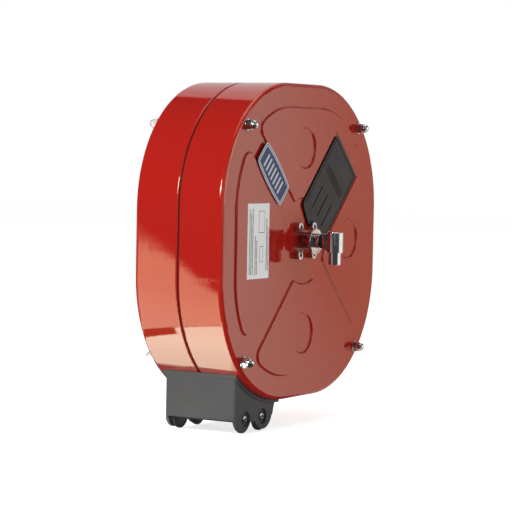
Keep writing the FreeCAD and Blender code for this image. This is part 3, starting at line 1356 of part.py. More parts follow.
def outlet_frame():
    """Moulded guide: two lobed end plates and two side walls under a saddle that the case halves clamp."""
    body = body_named("outlet_walls")
    rear = "((case_depth - outlet_depth) / 2)"
    front = "((case_depth + outlet_depth) / 2)"
    top = "(-case_width / 4)"
    prism(body, "Pad", "outlet_block", [
        ("-outlet_left", top), ("-outlet_left", "-outlet_bottom"), ("-outlet_right_bottom", "-outlet_bottom"),
        ("-outlet_right_top", f"-{HALF_WIDTH}"), ("-outlet_right_top", top),
    ], rear, "outlet_depth")
    for side in ("left", "right"):
        centre = (f"-{side}_lobe_centre", f"-{side}_lobe_height", rear)
        feature(body, "AdditiveCylinder", f"outlet_{side}_lobe", centre,
                Radius=f"{side}_lobe_radius", Height="outlet_depth")
    last = feature(
        body, "AdditiveBox", "outlet_lobe_web", ("-left_lobe_centre", "-lobe_web_bottom", rear),
        Length="left_lobe_centre - right_lobe_centre", Width="lobe_web_bottom - outlet_bottom + 2",
        Height="outlet_depth",
    )
    left = number("outlet_left")
    last = round_outlet_corner(body, last, left)
    wall = "outlet_side_wall"
    inner_depth = "outlet_depth - 2 * outlet_end_wall"
    inner_level = f"({rear} + outlet_end_wall)"
    prism(body, "Pocket", "outlet_hollow", [
        (f"-outlet_left + {wall}", "0"), (f"-outlet_left + {wall}", "-case_width"),
        (f"-outlet_right_bottom - {wall}", "-case_width"), (f"-outlet_right_bottom - {wall}", "-outlet_bottom"),
        (f"-outlet_right_top - {wall}", f"-{HALF_WIDTH}"), (f"-outlet_right_top - {wall}", "0"),
    ], inner_level, inner_depth)
    feature(body, "SubtractiveBox", "outlet_mouth", ("-case_width / 2", "-case_width", inner_level),
            Length="case_width / 2", Width="case_width - outlet_bottom", Height=inner_depth)
    for index, (a, b, _) in enumerate(roller_spots("0"), start=1):
        for name, level in (("front", f"{front} - outlet_end_wall - roller_dish_depth + fit_gap"),
                            ("rear", f"{inner_level} - 1")):
            feature(body, "AdditiveCylinder", f"outlet_{name}_pivot_{index}", (a, b, level),
                    Radius="roller_dish_radius - fit_gap * 2", Height="roller_dish_depth - fit_gap + 1")
        for name, level in (("front", f"{front} - seat_depth"), ("rear", f"{rear} - seat_depth")):
            feature(body, "SubtractiveCylinder", f"outlet_{name}_seat_{index}", (a, b, level),
                    Radius="seat_radius", Height="2 * seat_depth")
        feature(body, "SubtractiveCylinder", f"outlet_bolt_hole_{index}", (a, b, "0"),
                Radius="bolt_radius + run_gap", Height="case_depth")
    lip_radius = "case_corner_radius + fit_gap + lip_thickness"
    lip = common(
        "outlet_lip",
        outlet_box("lip_box", "(outlet_left + lip_overhang)", "(outlet_right_top - lip_right_overhang)",
                   "(outlet_depth + 2 * lip_overhang)"),
        case_cylinder("lip_cylinder", lip_radius),
    )
    outside = cut("outlet_outside", fuse("outlet_outside_blank", body, lip),
                  case_cylinder("case_surface", "case_corner_radius + fit_gap"), lip_side_box())
    throat = common("outlet_throat", outlet_box("throat_box", "throat_left", "throat_right", "throat_depth"),
                    case_cylinder("throat_outer", f"{lip_radius} - fit_gap"))
    clamp = common(
        "outlet_clamp_blank",
        outlet_box("clamp_box", "(throat_left + clamp_width)", "(throat_right - clamp_width)",
                   "(throat_depth + 2 * clamp_width)"),
        case_cylinder("clamp_outer", "case_corner_radius - sheet_wall - fit_gap"),
    )
    rims = solid(
        "Box", "clamp_rim_notch", ("-case_width", "-case_width", f"{SEAM_REAR} - sheet_wall - fit_gap"),
        Length="case_width", Width="case_width", Height="seam_gap + 2 * (sheet_wall + fit_gap)",
    )
    clamp = cut("outlet_clamp", clamp, rims)
    inside = cut("outlet_inside", fuse("outlet_inside_blank", throat, clamp),
                 case_cylinder("clamp_inner", "case_corner_radius - sheet_wall - fit_gap - clamp_thickness"),
                 upper_box())
    way = outlet_box("outlet_way", "(throat_left - throat_wall)", "(throat_right + throat_wall)",
                     "(throat_depth - 2 * throat_wall)")
    keep(cut("outlet", fuse("outlet_blank", outside, inside), way), "outlet_frame")


def round_outlet_corner(body, base, left):
    corners = edges_where(
        base,
        lambda edge: len(edge.Vertexes) == 2 and abs(edge.tangentAt(edge.FirstParameter).y) > 0.99
        and all(abs(vertex.X + left) < 0.01 for vertex in edge.Vertexes),
    )
    return dress(body, "Fillet", "outlet_corner_rounds", base, "outlet_corner_round", corners)


def lip_side_box():
    """Trims the lip above the lowest part of the corner, where the outlet ends."""
    return solid("Box", "lip_trim", ("-case_width", "-case_width / 3", "-case_depth"),
                 Length="2 * case_width", Width="case_width", Height="3 * case_depth")


def upper_box():
    return solid("Box", "throat_trim", ("-case_width", f"-{CORNER_CENTRE}", "-case_depth"),
                 Length="2 * case_width", Width="case_width", Height="3 * case_depth")


def outlet_rollers():
    """Flanged rollers with a thin waist, dished at the ends where the frame's pivots enter."""
    length = "(outlet_depth - 2 * outlet_end_wall - 2 * fit_gap)"
    flare = f"({length} / 2 - roller_rim - roller_flare_radius)"
    for label, side in (("outlet_roller_left", 1), ("outlet_roller_right", -1)):
        blank = solid("Cylinder", label + "_blank", ("0", "0", f"-{length} / 2"),
                      Radius="roller_radius", Height=length)
        waist_outer = solid("Cylinder", label + "_waist_outer", ("0", "0", f"-{flare}"),
                            Radius="roller_radius + 1", Height=f"2 * {flare}")
        waist_inner = solid("Cylinder", label + "_waist_inner", ("0", "0", f"-{flare} - 1"),
                            Radius="roller_waist_radius", Height=f"2 * {flare} + 2")
        waist = cut(label + "_waist", waist_outer, waist_inner)
        tools = [waist]
        for end, sign in (("front", ""), ("rear", "-")):
            tools.append(solid(
                "Torus", f"{label}_{end}_flare", ("0", "0", f"{sign}{flare}"),
                Radius1="roller_waist_radius + roller_flare_radius", Radius2="roller_flare_radius",
            ))
            start = f"{length} / 2 - roller_dish_depth" if sign == "" else f"-{length} / 2 - roller_dish_depth"
            tools.append(solid("Cylinder", f"{label}_{end}_dish", ("0", "0", start),
                               Radius="roller_dish_radius", Height="2 * roller_dish_depth"))
            opening = f"{flare}" if sign == "" else f"-{length} / 2 + roller_rim"
            ring = cut(
                f"{label}_{end}_relief",
                solid("Cylinder", f"{label}_{end}_relief_outer", ("0", "0", opening),
                      Radius="roller_radius + 1", Height="roller_flare_radius"),
                solid("Cylinder", f"{label}_{end}_relief_inner", ("0", "0", f"{opening} - 1"),
                      Radius="roller_waist_radius + roller_flare_radius", Height="roller_flare_radius + 2"),
            )
            tools.append(ring)
        tools.append(solid("Cylinder", label + "_bore", ("0", "0", f"-{length}"),
                           Radius="bolt_radius + roller_bore_gap", Height=f"2 * {length}"))
        place = (f"-roller_centre - {side} * roller_spacing / 2", "-case_depth / 2", "-roller_height")
        keep(cut(label + "_cut", blank, *tools), label, place)


def roller_fasteners():
    bolt = body_named("roller_bolt")
    front = "((case_depth + outlet_depth) / 2)"
    rear = "((case_depth - outlet_depth) / 2)"
    end = "(outlet_depth - 2 * seat_depth + lock_nut_height)"
    feature(bolt, "AdditiveCylinder", "roller_bolt_shank", ("0", "0", f"-{end}"), Radius="bolt_radius",
            Height=f"{end} + 1")
    head = feature(bolt, "AdditiveCylinder", "roller_bolt_head", Radius="bolt_head_radius", Height="bolt_head_height")
    top = number("bolt_head_height")
    rim = edges_where(
        head, lambda edge: isinstance(edge.Curve, Part.Circle) and abs(edge.CenterOfMass.z - top) < 0.01)
    dress(bolt, "Fillet", "roller_bolt_dome", head, "bolt_head_height * 0.6", rim)
    feature(bolt, "SubtractivePrism", "roller_bolt_socket", ("0", "0", "bolt_head_height / 2"),
            Circumradius="bolt_radius * 0.75", Height="bolt_head_height")
    copies("roller_bolts", bolt, roller_spots(f"{front} - seat_depth"))
    nut = body_named("roller_nut")
    feature(nut, "AdditivePrism", "roller_nut_hex", Circumradius="lock_nut_flats / sqrt(3)", Height="lock_nut_height")
    feature(nut, "SubtractiveCylinder", "roller_nut_bore", Radius="bolt_radius + run_gap", Height="lock_nut_height")
    copies("roller_nuts", nut, roller_spots(f"{rear} + seat_depth - lock_nut_height"))


half_shell("front_shell", True)
half_shell("rear_shell", False)
seam_seal()
tie_hardware()
wall_fixing()
bearing_flange()
flange_screws()
fluid_shaft()
swivel_collar()
dust_seal()
inlet_elbow()
drum()
shaft_screws()
arbor()
drum_hub()
power_spring()
water_way()
ratchet_ring()
pawl()
pawl_spring()
hatch_cover()
badge_plate()
data_label()
outlet_frame()
outlet_rollers()
roller_fasteners()

doc.recompute()
for item in doc.Objects:
    if "Invalid" in item.State or "Error" in item.State:
        raise RuntimeError(f"{item.Name} failed: {item.State}")
for label, item in nodes.items():
    if item.Shape.isNull() or not item.Shape.isValid() or not item.Shape.Solids:
        raise RuntimeError(f"{label} has no valid solid")

os.makedirs("parts", exist_ok=True)
for label, item in nodes.items():
    item.Shape.exportStep(f"parts/{label}.step")
print(f"{len(nodes)} sub-parts written")
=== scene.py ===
import math

import bmesh
import bpy
from mathutils import Matrix, Vector


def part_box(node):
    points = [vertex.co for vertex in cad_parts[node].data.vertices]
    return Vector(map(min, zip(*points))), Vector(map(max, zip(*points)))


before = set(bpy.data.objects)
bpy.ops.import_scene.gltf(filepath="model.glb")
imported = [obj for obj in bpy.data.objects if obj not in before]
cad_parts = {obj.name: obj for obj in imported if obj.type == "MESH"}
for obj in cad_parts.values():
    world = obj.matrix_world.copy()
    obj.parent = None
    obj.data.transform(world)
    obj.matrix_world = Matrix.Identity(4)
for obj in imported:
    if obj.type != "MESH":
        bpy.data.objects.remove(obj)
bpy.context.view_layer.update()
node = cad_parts


# Rear and front half shells. Each is one deep-drawn steel pressing with a rolled rim, four raised
# panels and valleys to the corner nuts, coated in glossy red powder paint that keeps a faint
# orange-peel ripple and is a little thinner and lighter along the pressed edges.
PAINT_RED = (0.43, 0.0138, 0.0090, 1)
PAINT_DEEP = (0.34, 0.0080, 0.0060, 1)
PAINT_THIN = (0.56, 0.028, 0.016, 1)
PAINT_GLINT = (1.0, 0.92, 0.72, 1)
PAINT_WEAR = 0.5
EDGE_ROUND = 0.0006
# The drawn side walls sprang back a little: their slope changes over the depth and near half height
SPRING_BACK = 0.7175
REAR_LEAN = -0.027
CROWN = 0.78
FLAT_HALF = 0.045


def wire(tree, kind, sockets=None, **settings):
    """One shader node of a tree. A socket is given a number, a colour or another node's output."""
    made = tree.nodes.new("ShaderNode" + kind)
    for name, value in settings.items():
        setattr(made, name, value)
    for name, value in (sockets or {}).items():
        if isinstance(value, bpy.types.NodeSocket):
            tree.links.new(value, made.inputs[name])
        else:
            made.inputs[name].default_value = value
    return made


def effect(name, inputs, outputs):
    """A named shader group, its input node and its output node."""
    group = bpy.data.node_groups.new(name, "ShaderNodeTree")
    for label, start in inputs.items():
        group.interface.new_socket(label, in_out="INPUT", socket_type="NodeSocketFloat").default_value = start
    for label, kind in outputs.items():
        group.interface.new_socket(label, in_out="OUTPUT", socket_type="NodeSocket" + kind)
    return group, group.nodes.new("NodeGroupInput"), group.nodes.new("NodeGroupOutput")


def placed(tree, group, **sockets):
    """One use of an effect in a material, with its own numbers."""
    made = tree.nodes.new("ShaderNodeGroup")
    made.node_tree = group
    for label, value in sockets.items():
        made.inputs[label].default_value = value
    return made


# Edges: a soft rounded normal and a broken mask where hands, tools and the carton rub
edges, given, result = effect("soft_edges", {"Radius": EDGE_ROUND, "Grain": 180.0},
                              {"Normal": "Vector", "Wear": "Float"})
rounded = wire(edges, "Bevel", {"Radius": given.outputs["Radius"]}, samples=6)
flat = wire(edges, "NewGeometry")
turn = wire(edges, "VectorMath", {0: rounded.outputs[0], 1: flat.outputs["Normal"]}, operation="DOT_PRODUCT")
rub = wire(edges, "MapRange", {"Value": turn.outputs["Value"], "From Min": 0.995, "From Max": 0.86})
place = wire(edges, "TexCoord")
patches = wire(edges, "TexNoise", {"Vector": place.outputs["Object"], "Scale": given.outputs["Grain"],
                                   "Detail": 4.0, "Roughness": 0.65})
broken = wire(edges, "MapRange", {"Value": patches.outputs[0], "From Min": 0.42, "From Max": 0.62})
wear = wire(edges, "Math", {0: rub.outputs[0], 1: broken.outputs[0]}, operation="MULTIPLY")
edges.links.new(rounded.outputs[0], result.inputs["Normal"])
edges.links.new(wear.outputs[0], result.inputs["Wear"])

# Ripple: the height of a sprayed or cast skin, fine grain over slow waves
ripple, given, result = effect("skin_ripple", {"Grain": 420.0, "Waves": 45.0, "Share": 0.35},
                               {"Height": "Float"})
place = wire(ripple, "TexCoord")
fine = wire(ripple, "TexNoise", {"Vector": place.outputs["Object"], "Scale": given.outputs["Grain"],
                                 "Detail": 1.5})
slow = wire(ripple, "TexNoise", {"Vector": place.outputs["Object"], "Scale": given.outputs["Waves"],
                                 "Detail": 1.0})
both = wire(ripple, "Mix", {"Factor": given.outputs["Share"], "A": fine.outputs[0], "B": slow.outputs[0]})
ripple.links.new(both.outputs["Result"], result.inputs["Height"])

# Tone: slow light and dark drift of a finish, for colour and roughness
drift, given, result = effect("tone_drift", {"Scale": 6.0, "Low": 0.0, "High": 1.0}, {"Tone": "Float"})
place = wire(drift, "TexCoord")
cloud = wire(drift, "TexNoise", {"Vector": place.outputs["Object"], "Scale": given.outputs["Scale"],
                                 "Detail": 3.0})
spread = wire(drift, "MapRange", {"Value": cloud.outputs[0], "From Min": 0.3, "From Max": 0.7,
                                  "To Min": given.outputs["Low"], "To Max": given.outputs["High"]})
drift.links.new(spread.outputs[0], result.inputs["Tone"])


def finish(name):
    """A new material with its Principled shader."""
    made = bpy.data.materials.new(name)
    made.use_nodes = True
    return made, made.node_tree, made.node_tree.nodes["Principled BSDF"]


def shade(tree, surface, colour=None, roughness=None, normal=None, **fixed):
    """Links what varies over the surface and sets what doesn't."""
    for label, source in (("Base Color", colour), ("Roughness", roughness), ("Normal", normal)):
        if source is not None:
            tree.links.new(source, surface.inputs[label])
    for label, value in fixed.items():
        surface.inputs[label.replace("_", " ")].default_value = value


def blend(tree, amount, first, second):
    """A colour between two, by a mask."""
    made = wire(tree, "Mix", {"Factor": amount}, data_type="RGBA")
    for slot, value in ((6, first), (7, second)):
        if isinstance(value, bpy.types.NodeSocket):
            tree.links.new(value, made.inputs[slot])
        else:
            made.inputs[slot].default_value = value
    return made.outputs[2]


def coat(made, *names):
    """Gives a finish to the named pieces."""
    for name in names:
        for spot in node[name].material_slots:
            spot.material = made


red_paint, tree, surface = finish("red_paint")
rim = placed(tree, edges, Radius=0.0009, Grain=90.0)
skin = placed(tree, ripple, Grain=480.0, Waves=60.0, Share=0.65)
tone = placed(tree, drift, Scale=5.0, Low=0.0, High=0.10)
gloss = placed(tree, drift, Scale=28.0, Low=0.03, High=0.06)
place = wire(tree, "TexCoord")
spot = wire(tree, "SeparateXYZ", {0: place.outputs["Object"]})
bow = wire(tree, "MapRange", {"Value": spot.outputs["Z"], "From Min": -FLAT_HALF, "From Max": FLAT_HALF,
                              "To Min": -CROWN * FLAT_HALF, "To Max": CROWN * FLAT_HALF})
draw = wire(tree, "Math", {0: spot.outputs["Y"], 1: -SPRING_BACK, 2: REAR_LEAN}, operation="MULTIPLY_ADD")
lean = wire(tree, "Math", {0: draw.outputs[0], 1: bow.outputs[0]}, operation="ADD")
facing = wire(tree, "SeparateXYZ", {0: wire(tree, "NewGeometry").outputs["True Normal"]})
side_wall = wire(tree, "Math", {0: facing.outputs["Y"], 1: 0.0, 2: 0.5}, operation="COMPARE")
lean = wire(tree, "Math", {0: lean.outputs[0], 1: side_wall.outputs[0]}, operation="MULTIPLY")
lean = wire(tree, "CombineXYZ", {"Z": lean.outputs[0]})
leaned = wire(tree, "VectorMath", {0: rim.outputs["Normal"], 1: lean.outputs[0]}, operation="ADD")
sprung = wire(tree, "VectorMath", {0: leaned.outputs[0]}, operation="NORMALIZE")
peel = wire(tree, "Bump", {"Height": skin.outputs["Height"], "Normal": sprung.outputs[0],
                           "Strength": 1.0, "Distance": 0.00008})
body_red = blend(tree, tone.outputs["Tone"], PAINT_RED, PAINT_DEEP)
thinned = wire(tree, "Math", {0: rim.outputs["Wear"], 1: PAINT_WEAR}, operation="MULTIPLY")
shade(tree, surface, blend(tree, thinned.outputs[0], body_red, PAINT_THIN), gloss.outputs["Tone"],
      peel.outputs[0], IOR=1.75, Specular_Tint=PAINT_GLINT)
coat(red_paint, "rear_shell", "front_shell")


# Arbor, ratchet ring and pawl: blackened steel, oiled, bare at the edges. The arbor and its backing
# plate are riveted to the rear shell, the ring to the drum, and the pawl swings on its stud.
BLACKED_DARK = (0.085, 0.085, 0.09, 1)
BLACKED_LIGHT = (0.13, 0.125, 0.125, 1)
BLACKED_BARE = (0.34, 0.34, 0.35, 1)
dark_steel, tree, surface = finish("blackened_steel")
rim = placed(tree, edges, Radius=0.0004, Grain=500.0)
tint = placed(tree, drift, Scale=110.0)
rough = placed(tree, drift, Scale=200.0, Low=0.20, High=0.34)
skin = placed(tree, ripple, Grain=1200.0, Waves=200.0, Share=0.5)
grain = wire(tree, "Bump", {"Height": skin.outputs["Height"], "Normal": rim.outputs["Normal"],
                            "Strength": 0.6, "Distance": 0.00002})
blacked = blend(tree, tint.outputs["Tone"], BLACKED_DARK, BLACKED_LIGHT)
shade(tree, surface, blend(tree, rim.outputs["Wear"], blacked, BLACKED_BARE), rough.outputs["Tone"],
      grain.outputs[0], Metallic=1.0)
coat(dark_steel, "fixed_arbor", "ratchet_ring", "ratchet_pawl")


# Power spring, pawl spring and clip: hardened spring strip and wire, tempered blue-grey. The power
# spring is hooked at both ends, and the clip holds the pawl on its stud.
TEMPERED_BLUE = (0.22, 0.25, 0.34, 1)
TEMPERED_GREY = (0.36, 0.34, 0.33, 1)
spring_steel, tree, surface = finish("tempered_spring")
tint = placed(tree, drift, Scale=40.0)
rough = placed(tree, drift, Scale=150.0, Low=0.20, High=0.34)
shade(tree, surface, blend(tree, tint.outputs["Tone"], TEMPERED_BLUE, TEMPERED_GREY), rough.outputs["Tone"],
      Metallic=1.0)
coat(spring_steel, "power_spring", "pawl_spring", "pawl_clip")


# Drum: two discs with curled rims, a barrel and the case of the spring, all of galvanised sheet with
# its frost-flower spangle. Tie bolts clamp the discs on the barrel.
SPANGLE_DARK = (0.46, 0.48, 0.49, 1)
SPANGLE_LIGHT = (0.60, 0.61, 0.61, 1)
galvanised, tree, surface = finish("galvanised_sheet")
place = wire(tree, "TexCoord")
spangle = wire(tree, "TexVoronoi", {"Vector": place.outputs["Object"], "Scale": 110.0})
tone = wire(tree, "SeparateColor", {0: spangle.outputs["Color"]})
rough = wire(tree, "MapRange", {"Value": tone.outputs[0], "To Min": 0.26, "To Max": 0.44})
shade(tree, surface, blend(tree, tone.outputs[1], SPANGLE_DARK, SPANGLE_LIGHT), rough.outputs[0],
      Metallic=1.0)
coat(galvanised, "drum_front_disc", "drum_rear_disc", "drum_barrel", "spring_case")


# Bushes, feed pipe and hose tail: turned bronze and brass, browned a little in the hollows. The
# bushes sit in their bores, and the pipe leads from the shaft to the hose tail in the barrel.
BRONZE_BRIGHT = (0.62, 0.42, 0.18, 1)
BRONZE_BROWN = (0.48, 0.29, 0.12, 1)
bronze, tree, surface = finish("turned_bronze")
rim = placed(tree, edges, Radius=0.0004, Grain=500.0)
tint = placed(tree, drift, Scale=70.0)
rough = placed(tree, drift, Scale=180.0, Low=0.22, High=0.38)
skin = placed(tree, ripple, Grain=1200.0, Waves=200.0, Share=0.5)
grain = wire(tree, "Bump", {"Height": skin.outputs["Height"], "Normal": rim.outputs["Normal"],
                            "Strength": 0.6, "Distance": 0.00002})
shade(tree, surface, blend(tree, tint.outputs["Tone"], BRONZE_BRIGHT, BRONZE_BROWN), rough.outputs["Tone"],
      grain.outputs[0], Metallic=1.0)
coat(bronze, "front_bush", "rear_bush", "journal_bush", "feed_pipe", "hose_tail")


# Fluid shaft: a stainless tube with a flange that is screwed to the drum, ground bright in fine rings
# where it turns in its bush and under the collar.
GROUND_DARK = (0.54, 0.54, 0.55, 1)
GROUND_LIGHT = (0.68, 0.68, 0.69, 1)
RING_STRETCH = (30.0, 4000.0, 30.0)
ground_steel, tree, surface = finish("ground_steel")
place = wire(tree, "TexCoord")
rings = wire(tree, "Mapping", {"Vector": place.outputs["Object"], "Scale": RING_STRETCH})
lines = wire(tree, "TexNoise", {"Vector": rings.outputs[0], "Scale": 1.0, "Detail": 2.0})
grain = wire(tree, "Bump", {"Height": lines.outputs[0], "Strength": 0.4, "Distance": 0.00001})
rough = placed(tree, drift, Scale=160.0, Low=0.10, High=0.18)
shade(tree, surface, blend(tree, lines.outputs[0], GROUND_DARK, GROUND_LIGHT), rough.outputs["Tone"],
      grain.outputs[0], Metallic=1.0)
coat(ground_steel, "fluid_shaft")


# Seam seal, the two swivel seals and the dust seal on the collar's sleeve: extruded or moulded black
# rubber, matt, with a faint bloom, pinched between the rims or sprung into their grooves.
RUBBER = (0.006, 0.006, 0.006, 1)
RUBBER_BLOOM = (0.014, 0.0135, 0.013, 1)
black_rubber, tree, surface = finish("black_rubber")
bloom = placed(tree, drift, Scale=60.0)
skin = placed(tree, ripple, Grain=900.0, Waves=150.0, Share=0.3)
grain = wire(tree, "Bump", {"Height": skin.outputs["Height"], "Strength": 0.6, "Distance": 0.00005})
rough = placed(tree, drift, Scale=35.0, Low=0.55, High=0.75)
shade(tree, surface, blend(tree, bloom.outputs["Tone"], RUBBER, RUBBER_BLOOM), rough.outputs["Tone"],
      grain.outputs[0], Specular_IOR_Level=0.25)
coat(black_rubber, "seam_seal", "swivel_seals", "dust_seal")


# Tie rods, tubes, washers, nuts, rivets and screws, with the backing plate and the drum's hub: bright
# zinc-plated steel with a thin clear passivation that turns a little blue or yellow, and scuffed edges.
ZINC_BLUE = (0.60, 0.63, 0.68, 1)
ZINC_YELLOW = (0.70, 0.69, 0.64, 1)
ZINC_SCUFFED = (0.42, 0.41, 0.40, 1)
ZINC_DULL = (0.80, 0.81, 0.83, 1)
ZINC_PALE = (0.88, 0.87, 0.84, 1)
zinc, tree, surface = finish("bright_zinc")
rim = placed(tree, edges, Radius=0.0003, Grain=600.0)
tint = placed(tree, drift, Scale=120.0)
rough = placed(tree, drift, Scale=260.0, Low=0.14, High=0.30)
skin = placed(tree, ripple, Grain=1500.0, Waves=400.0, Share=0.4)
grain = wire(tree, "Bump", {"Height": skin.outputs["Height"], "Normal": rim.outputs["Normal"],
                            "Strength": 0.5, "Distance": 0.00001})
plated = blend(tree, tint.outputs["Tone"], ZINC_BLUE, ZINC_YELLOW)
shade(tree, surface, blend(tree, rim.outputs["Wear"], plated, ZINC_SCUFFED), rough.outputs["Tone"],
      grain.outputs[0], Metallic=1.0)
coat(zinc, "front_cap_nuts", "tie_rods", "spacer_tubes", "weld_nuts", "front_washers", "rear_washers",
     "rear_backing_plate", "arbor_rivets", "flange_screws", "roller_bolts", "roller_nuts", "pawl_stud",
     "ratchet_rivets", "drum_tie_bolts", "drum_tie_nuts", "shaft_flange_screws", "drum_hub")

# The cap nuts at the back, on the wall side, have the same plating, left dull
dull_zinc, tree, surface = finish("dull_zinc")
tint = placed(tree, drift, Scale=120.0)
rough = placed(tree, drift, Scale=260.0, Low=0.42, High=0.55)
skin = placed(tree, ripple, Grain=1500.0, Waves=400.0, Share=0.4)
grain = wire(tree, "Bump", {"Height": skin.outputs["Height"], "Strength": 0.5, "Distance": 0.00001})
shade(tree, surface, blend(tree, tint.outputs["Tone"], ZINC_DULL, ZINC_PALE), rough.outputs["Tone"],
      grain.outputs[0], Metallic=0.6)
coat(dull_zinc, "rear_cap_nuts")


# Bearing flange: cast, with its boss turned bright where it passes the shell. Four socket head screws
# hold it to the front shell.
CAST_DARK = (0.40, 0.40, 0.41, 1)
CAST_LIGHT = (0.52, 0.52, 0.53, 1)
casting, tree, surface = finish("turned_casting")
rim = placed(tree, edges, Radius=0.0005, Grain=400.0)
skin = placed(tree, ripple, Grain=1400.0, Waves=300.0, Share=0.5)
grain = wire(tree, "Bump", {"Height": skin.outputs["Height"], "Normal": rim.outputs["Normal"],
                            "Strength": 0.8, "Distance": 0.00006})
cast = placed(tree, drift, Scale=90.0)
rough = placed(tree, drift, Scale=150.0, Low=0.16, High=0.26)
shade(tree, surface, blend(tree, cast.outputs["Tone"], CAST_DARK, CAST_LIGHT), rough.outputs["Tone"],
      grain.outputs[0], Metallic=1.0)
coat(casting, "bearing_flange")


# Swivel collar and inlet elbow: turned or milled from brass, polished and chromium plated, with a
# breath of smudges. The elbow turns on the end of the shaft, against the collar.
CHROME = (0.80, 0.81, 0.83, 1)
CHROME_SMUDGED = (0.70, 0.71, 0.73, 1)
chrome, tree, surface = finish("polished_chrome")
rim = placed(tree, edges, Radius=0.0005, Grain=500.0)
rough = placed(tree, drift, Scale=90.0, Low=0.03, High=0.08)
skin = placed(tree, ripple, Grain=1100.0, Waves=140.0, Share=0.6)
grain = wire(tree, "Bump", {"Height": skin.outputs["Height"], "Normal": rim.outputs["Normal"],
                            "Strength": 0.5, "Distance": 0.000012})
smudge = placed(tree, drift, Scale=150.0)
shade(tree, surface, blend(tree, smudge.outputs["Tone"], CHROME, CHROME_SMUDGED), rough.outputs["Tone"],
      grain.outputs[0], Metallic=1.0)
coat(chrome, "swivel_collar", "inlet_elbow")


# Outlet frame and its two rollers: injection moulded dark grey plastic with a fine spark-eroded
# grain, a little paler where hose and hands rub. The shells clamp the frame, and each roller turns
# on a bolt through it.
MOULDING_DARK = (0.082, 0.082, 0.083, 1)
MOULDING_LIGHT = (0.096, 0.096, 0.097, 1)
MOULDING_SCUFFED = (0.20, 0.20, 0.202, 1)
MOULDING_WEAR = 0.7
moulding, tree, surface = finish("black_moulding")
rim = placed(tree, edges, Radius=0.0007, Grain=220.0)
skin = placed(tree, ripple, Grain=1300.0, Waves=500.0, Share=0.3)
grain = wire(tree, "Bump", {"Height": skin.outputs["Height"], "Normal": rim.outputs["Normal"],
                            "Strength": 0.8, "Distance": 0.00006})
cast = placed(tree, drift, Scale=14.0)
rough = placed(tree, drift, Scale=40.0, Low=0.40, High=0.54)
plain = blend(tree, cast.outputs["Tone"], MOULDING_DARK, MOULDING_LIGHT)
scuffed = wire(tree, "Math", {0: rim.outputs["Wear"], 1: MOULDING_WEAR}, operation="MULTIPLY")
shade(tree, surface, blend(tree, scuffed.outputs[0], plain, MOULDING_SCUFFED), rough.outputs["Tone"],
      grain.outputs[0], Specular_IOR_Level=0.15)
coat(moulding, "outlet_frame", "outlet_roller_left", "outlet_roller_right")


# Hatch cover: a blacker moulding of the same kind, with recessed grooves, set into its seat in the front
# shell. Its colour is darkened into the grooves as painted shade.
HATCH_DARK = (0.026, 0.026, 0.027, 1)
HATCH_LIGHT = (0.034, 0.033, 0.034, 1)
HATCH_SCUFFED = (0.13, 0.13, 0.132, 1)
HATCH_GROOVE_SHADE = (0.006, 0.006, 0.006, 1)
HATCH_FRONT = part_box("hatch_cover")[0].y
GROOVE_SHADE_START = 0.0001
GROOVE_SHADE_FULL = 0.0005
hatch_black, tree, surface = finish("hatch_black")
rim = placed(tree, edges, Radius=0.0005, Grain=220.0)
skin = placed(tree, ripple, Grain=1500.0, Waves=500.0, Share=0.3)
grain = wire(tree, "Bump", {"Height": skin.outputs["Height"], "Normal": rim.outputs["Normal"],
                            "Strength": 0.8, "Distance": 0.00004})
cast = placed(tree, drift, Scale=14.0)
rough = placed(tree, drift, Scale=40.0, Low=0.42, High=0.52)
plain = blend(tree, cast.outputs["Tone"], HATCH_DARK, HATCH_LIGHT)
scuffed = blend(tree, rim.outputs["Wear"], plain, HATCH_SCUFFED)
place = wire(tree, "TexCoord")
depth = wire(tree, "SeparateXYZ", {0: place.outputs["Object"]})
# Painted shade: the colour goes darker below the plate's front face, into its grooves
groove_shade = wire(tree, "MapRange", {"Value": depth.outputs["Y"], "From Min": HATCH_FRONT + GROOVE_SHADE_START,
                               "From Max": HATCH_FRONT + GROOVE_SHADE_FULL})
shade(tree, surface, blend(tree, groove_shade.outputs[0], scuffed, HATCH_GROOVE_SHADE), rough.outputs["Tone"],
      grain.outputs[0], Specular_IOR_Level=0.3)
coat(hatch_black, "hatch_cover")


# Badge: a pressed aluminium plaque with bowed long sides, two bright raised lines round its edge and
# blue enamel between them, set on the front shell. Its field holds a plain row of pale upright bars.
BADGE_BLUE = (0.040, 0.062, 0.16, 1)
BADGE_BAR = (0.66, 0.67, 0.70, 1)
BADGE_LINE = (0.74, 0.75, 0.77, 1)
BADGE_MIDDLE = (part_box("badge_plate")[0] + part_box("badge_plate")[1]) / 2
BADGE_TURN = math.radians(-45)
# The raised lines stand out past this depth from the middle
LINE_LEVEL = -0.0007
BAR_PITCH = 0.0044
BAR_SHARE = 0.42
BAR_ROW = 0.029
BAR_HEIGHT = 0.011


def joined(first, second, operation="MULTIPLY"):
    """Two masks as one: their overlap, unless another operation is named."""
    return wire(tree, "Math", {0: first, 1: second}, operation=operation).outputs[0]


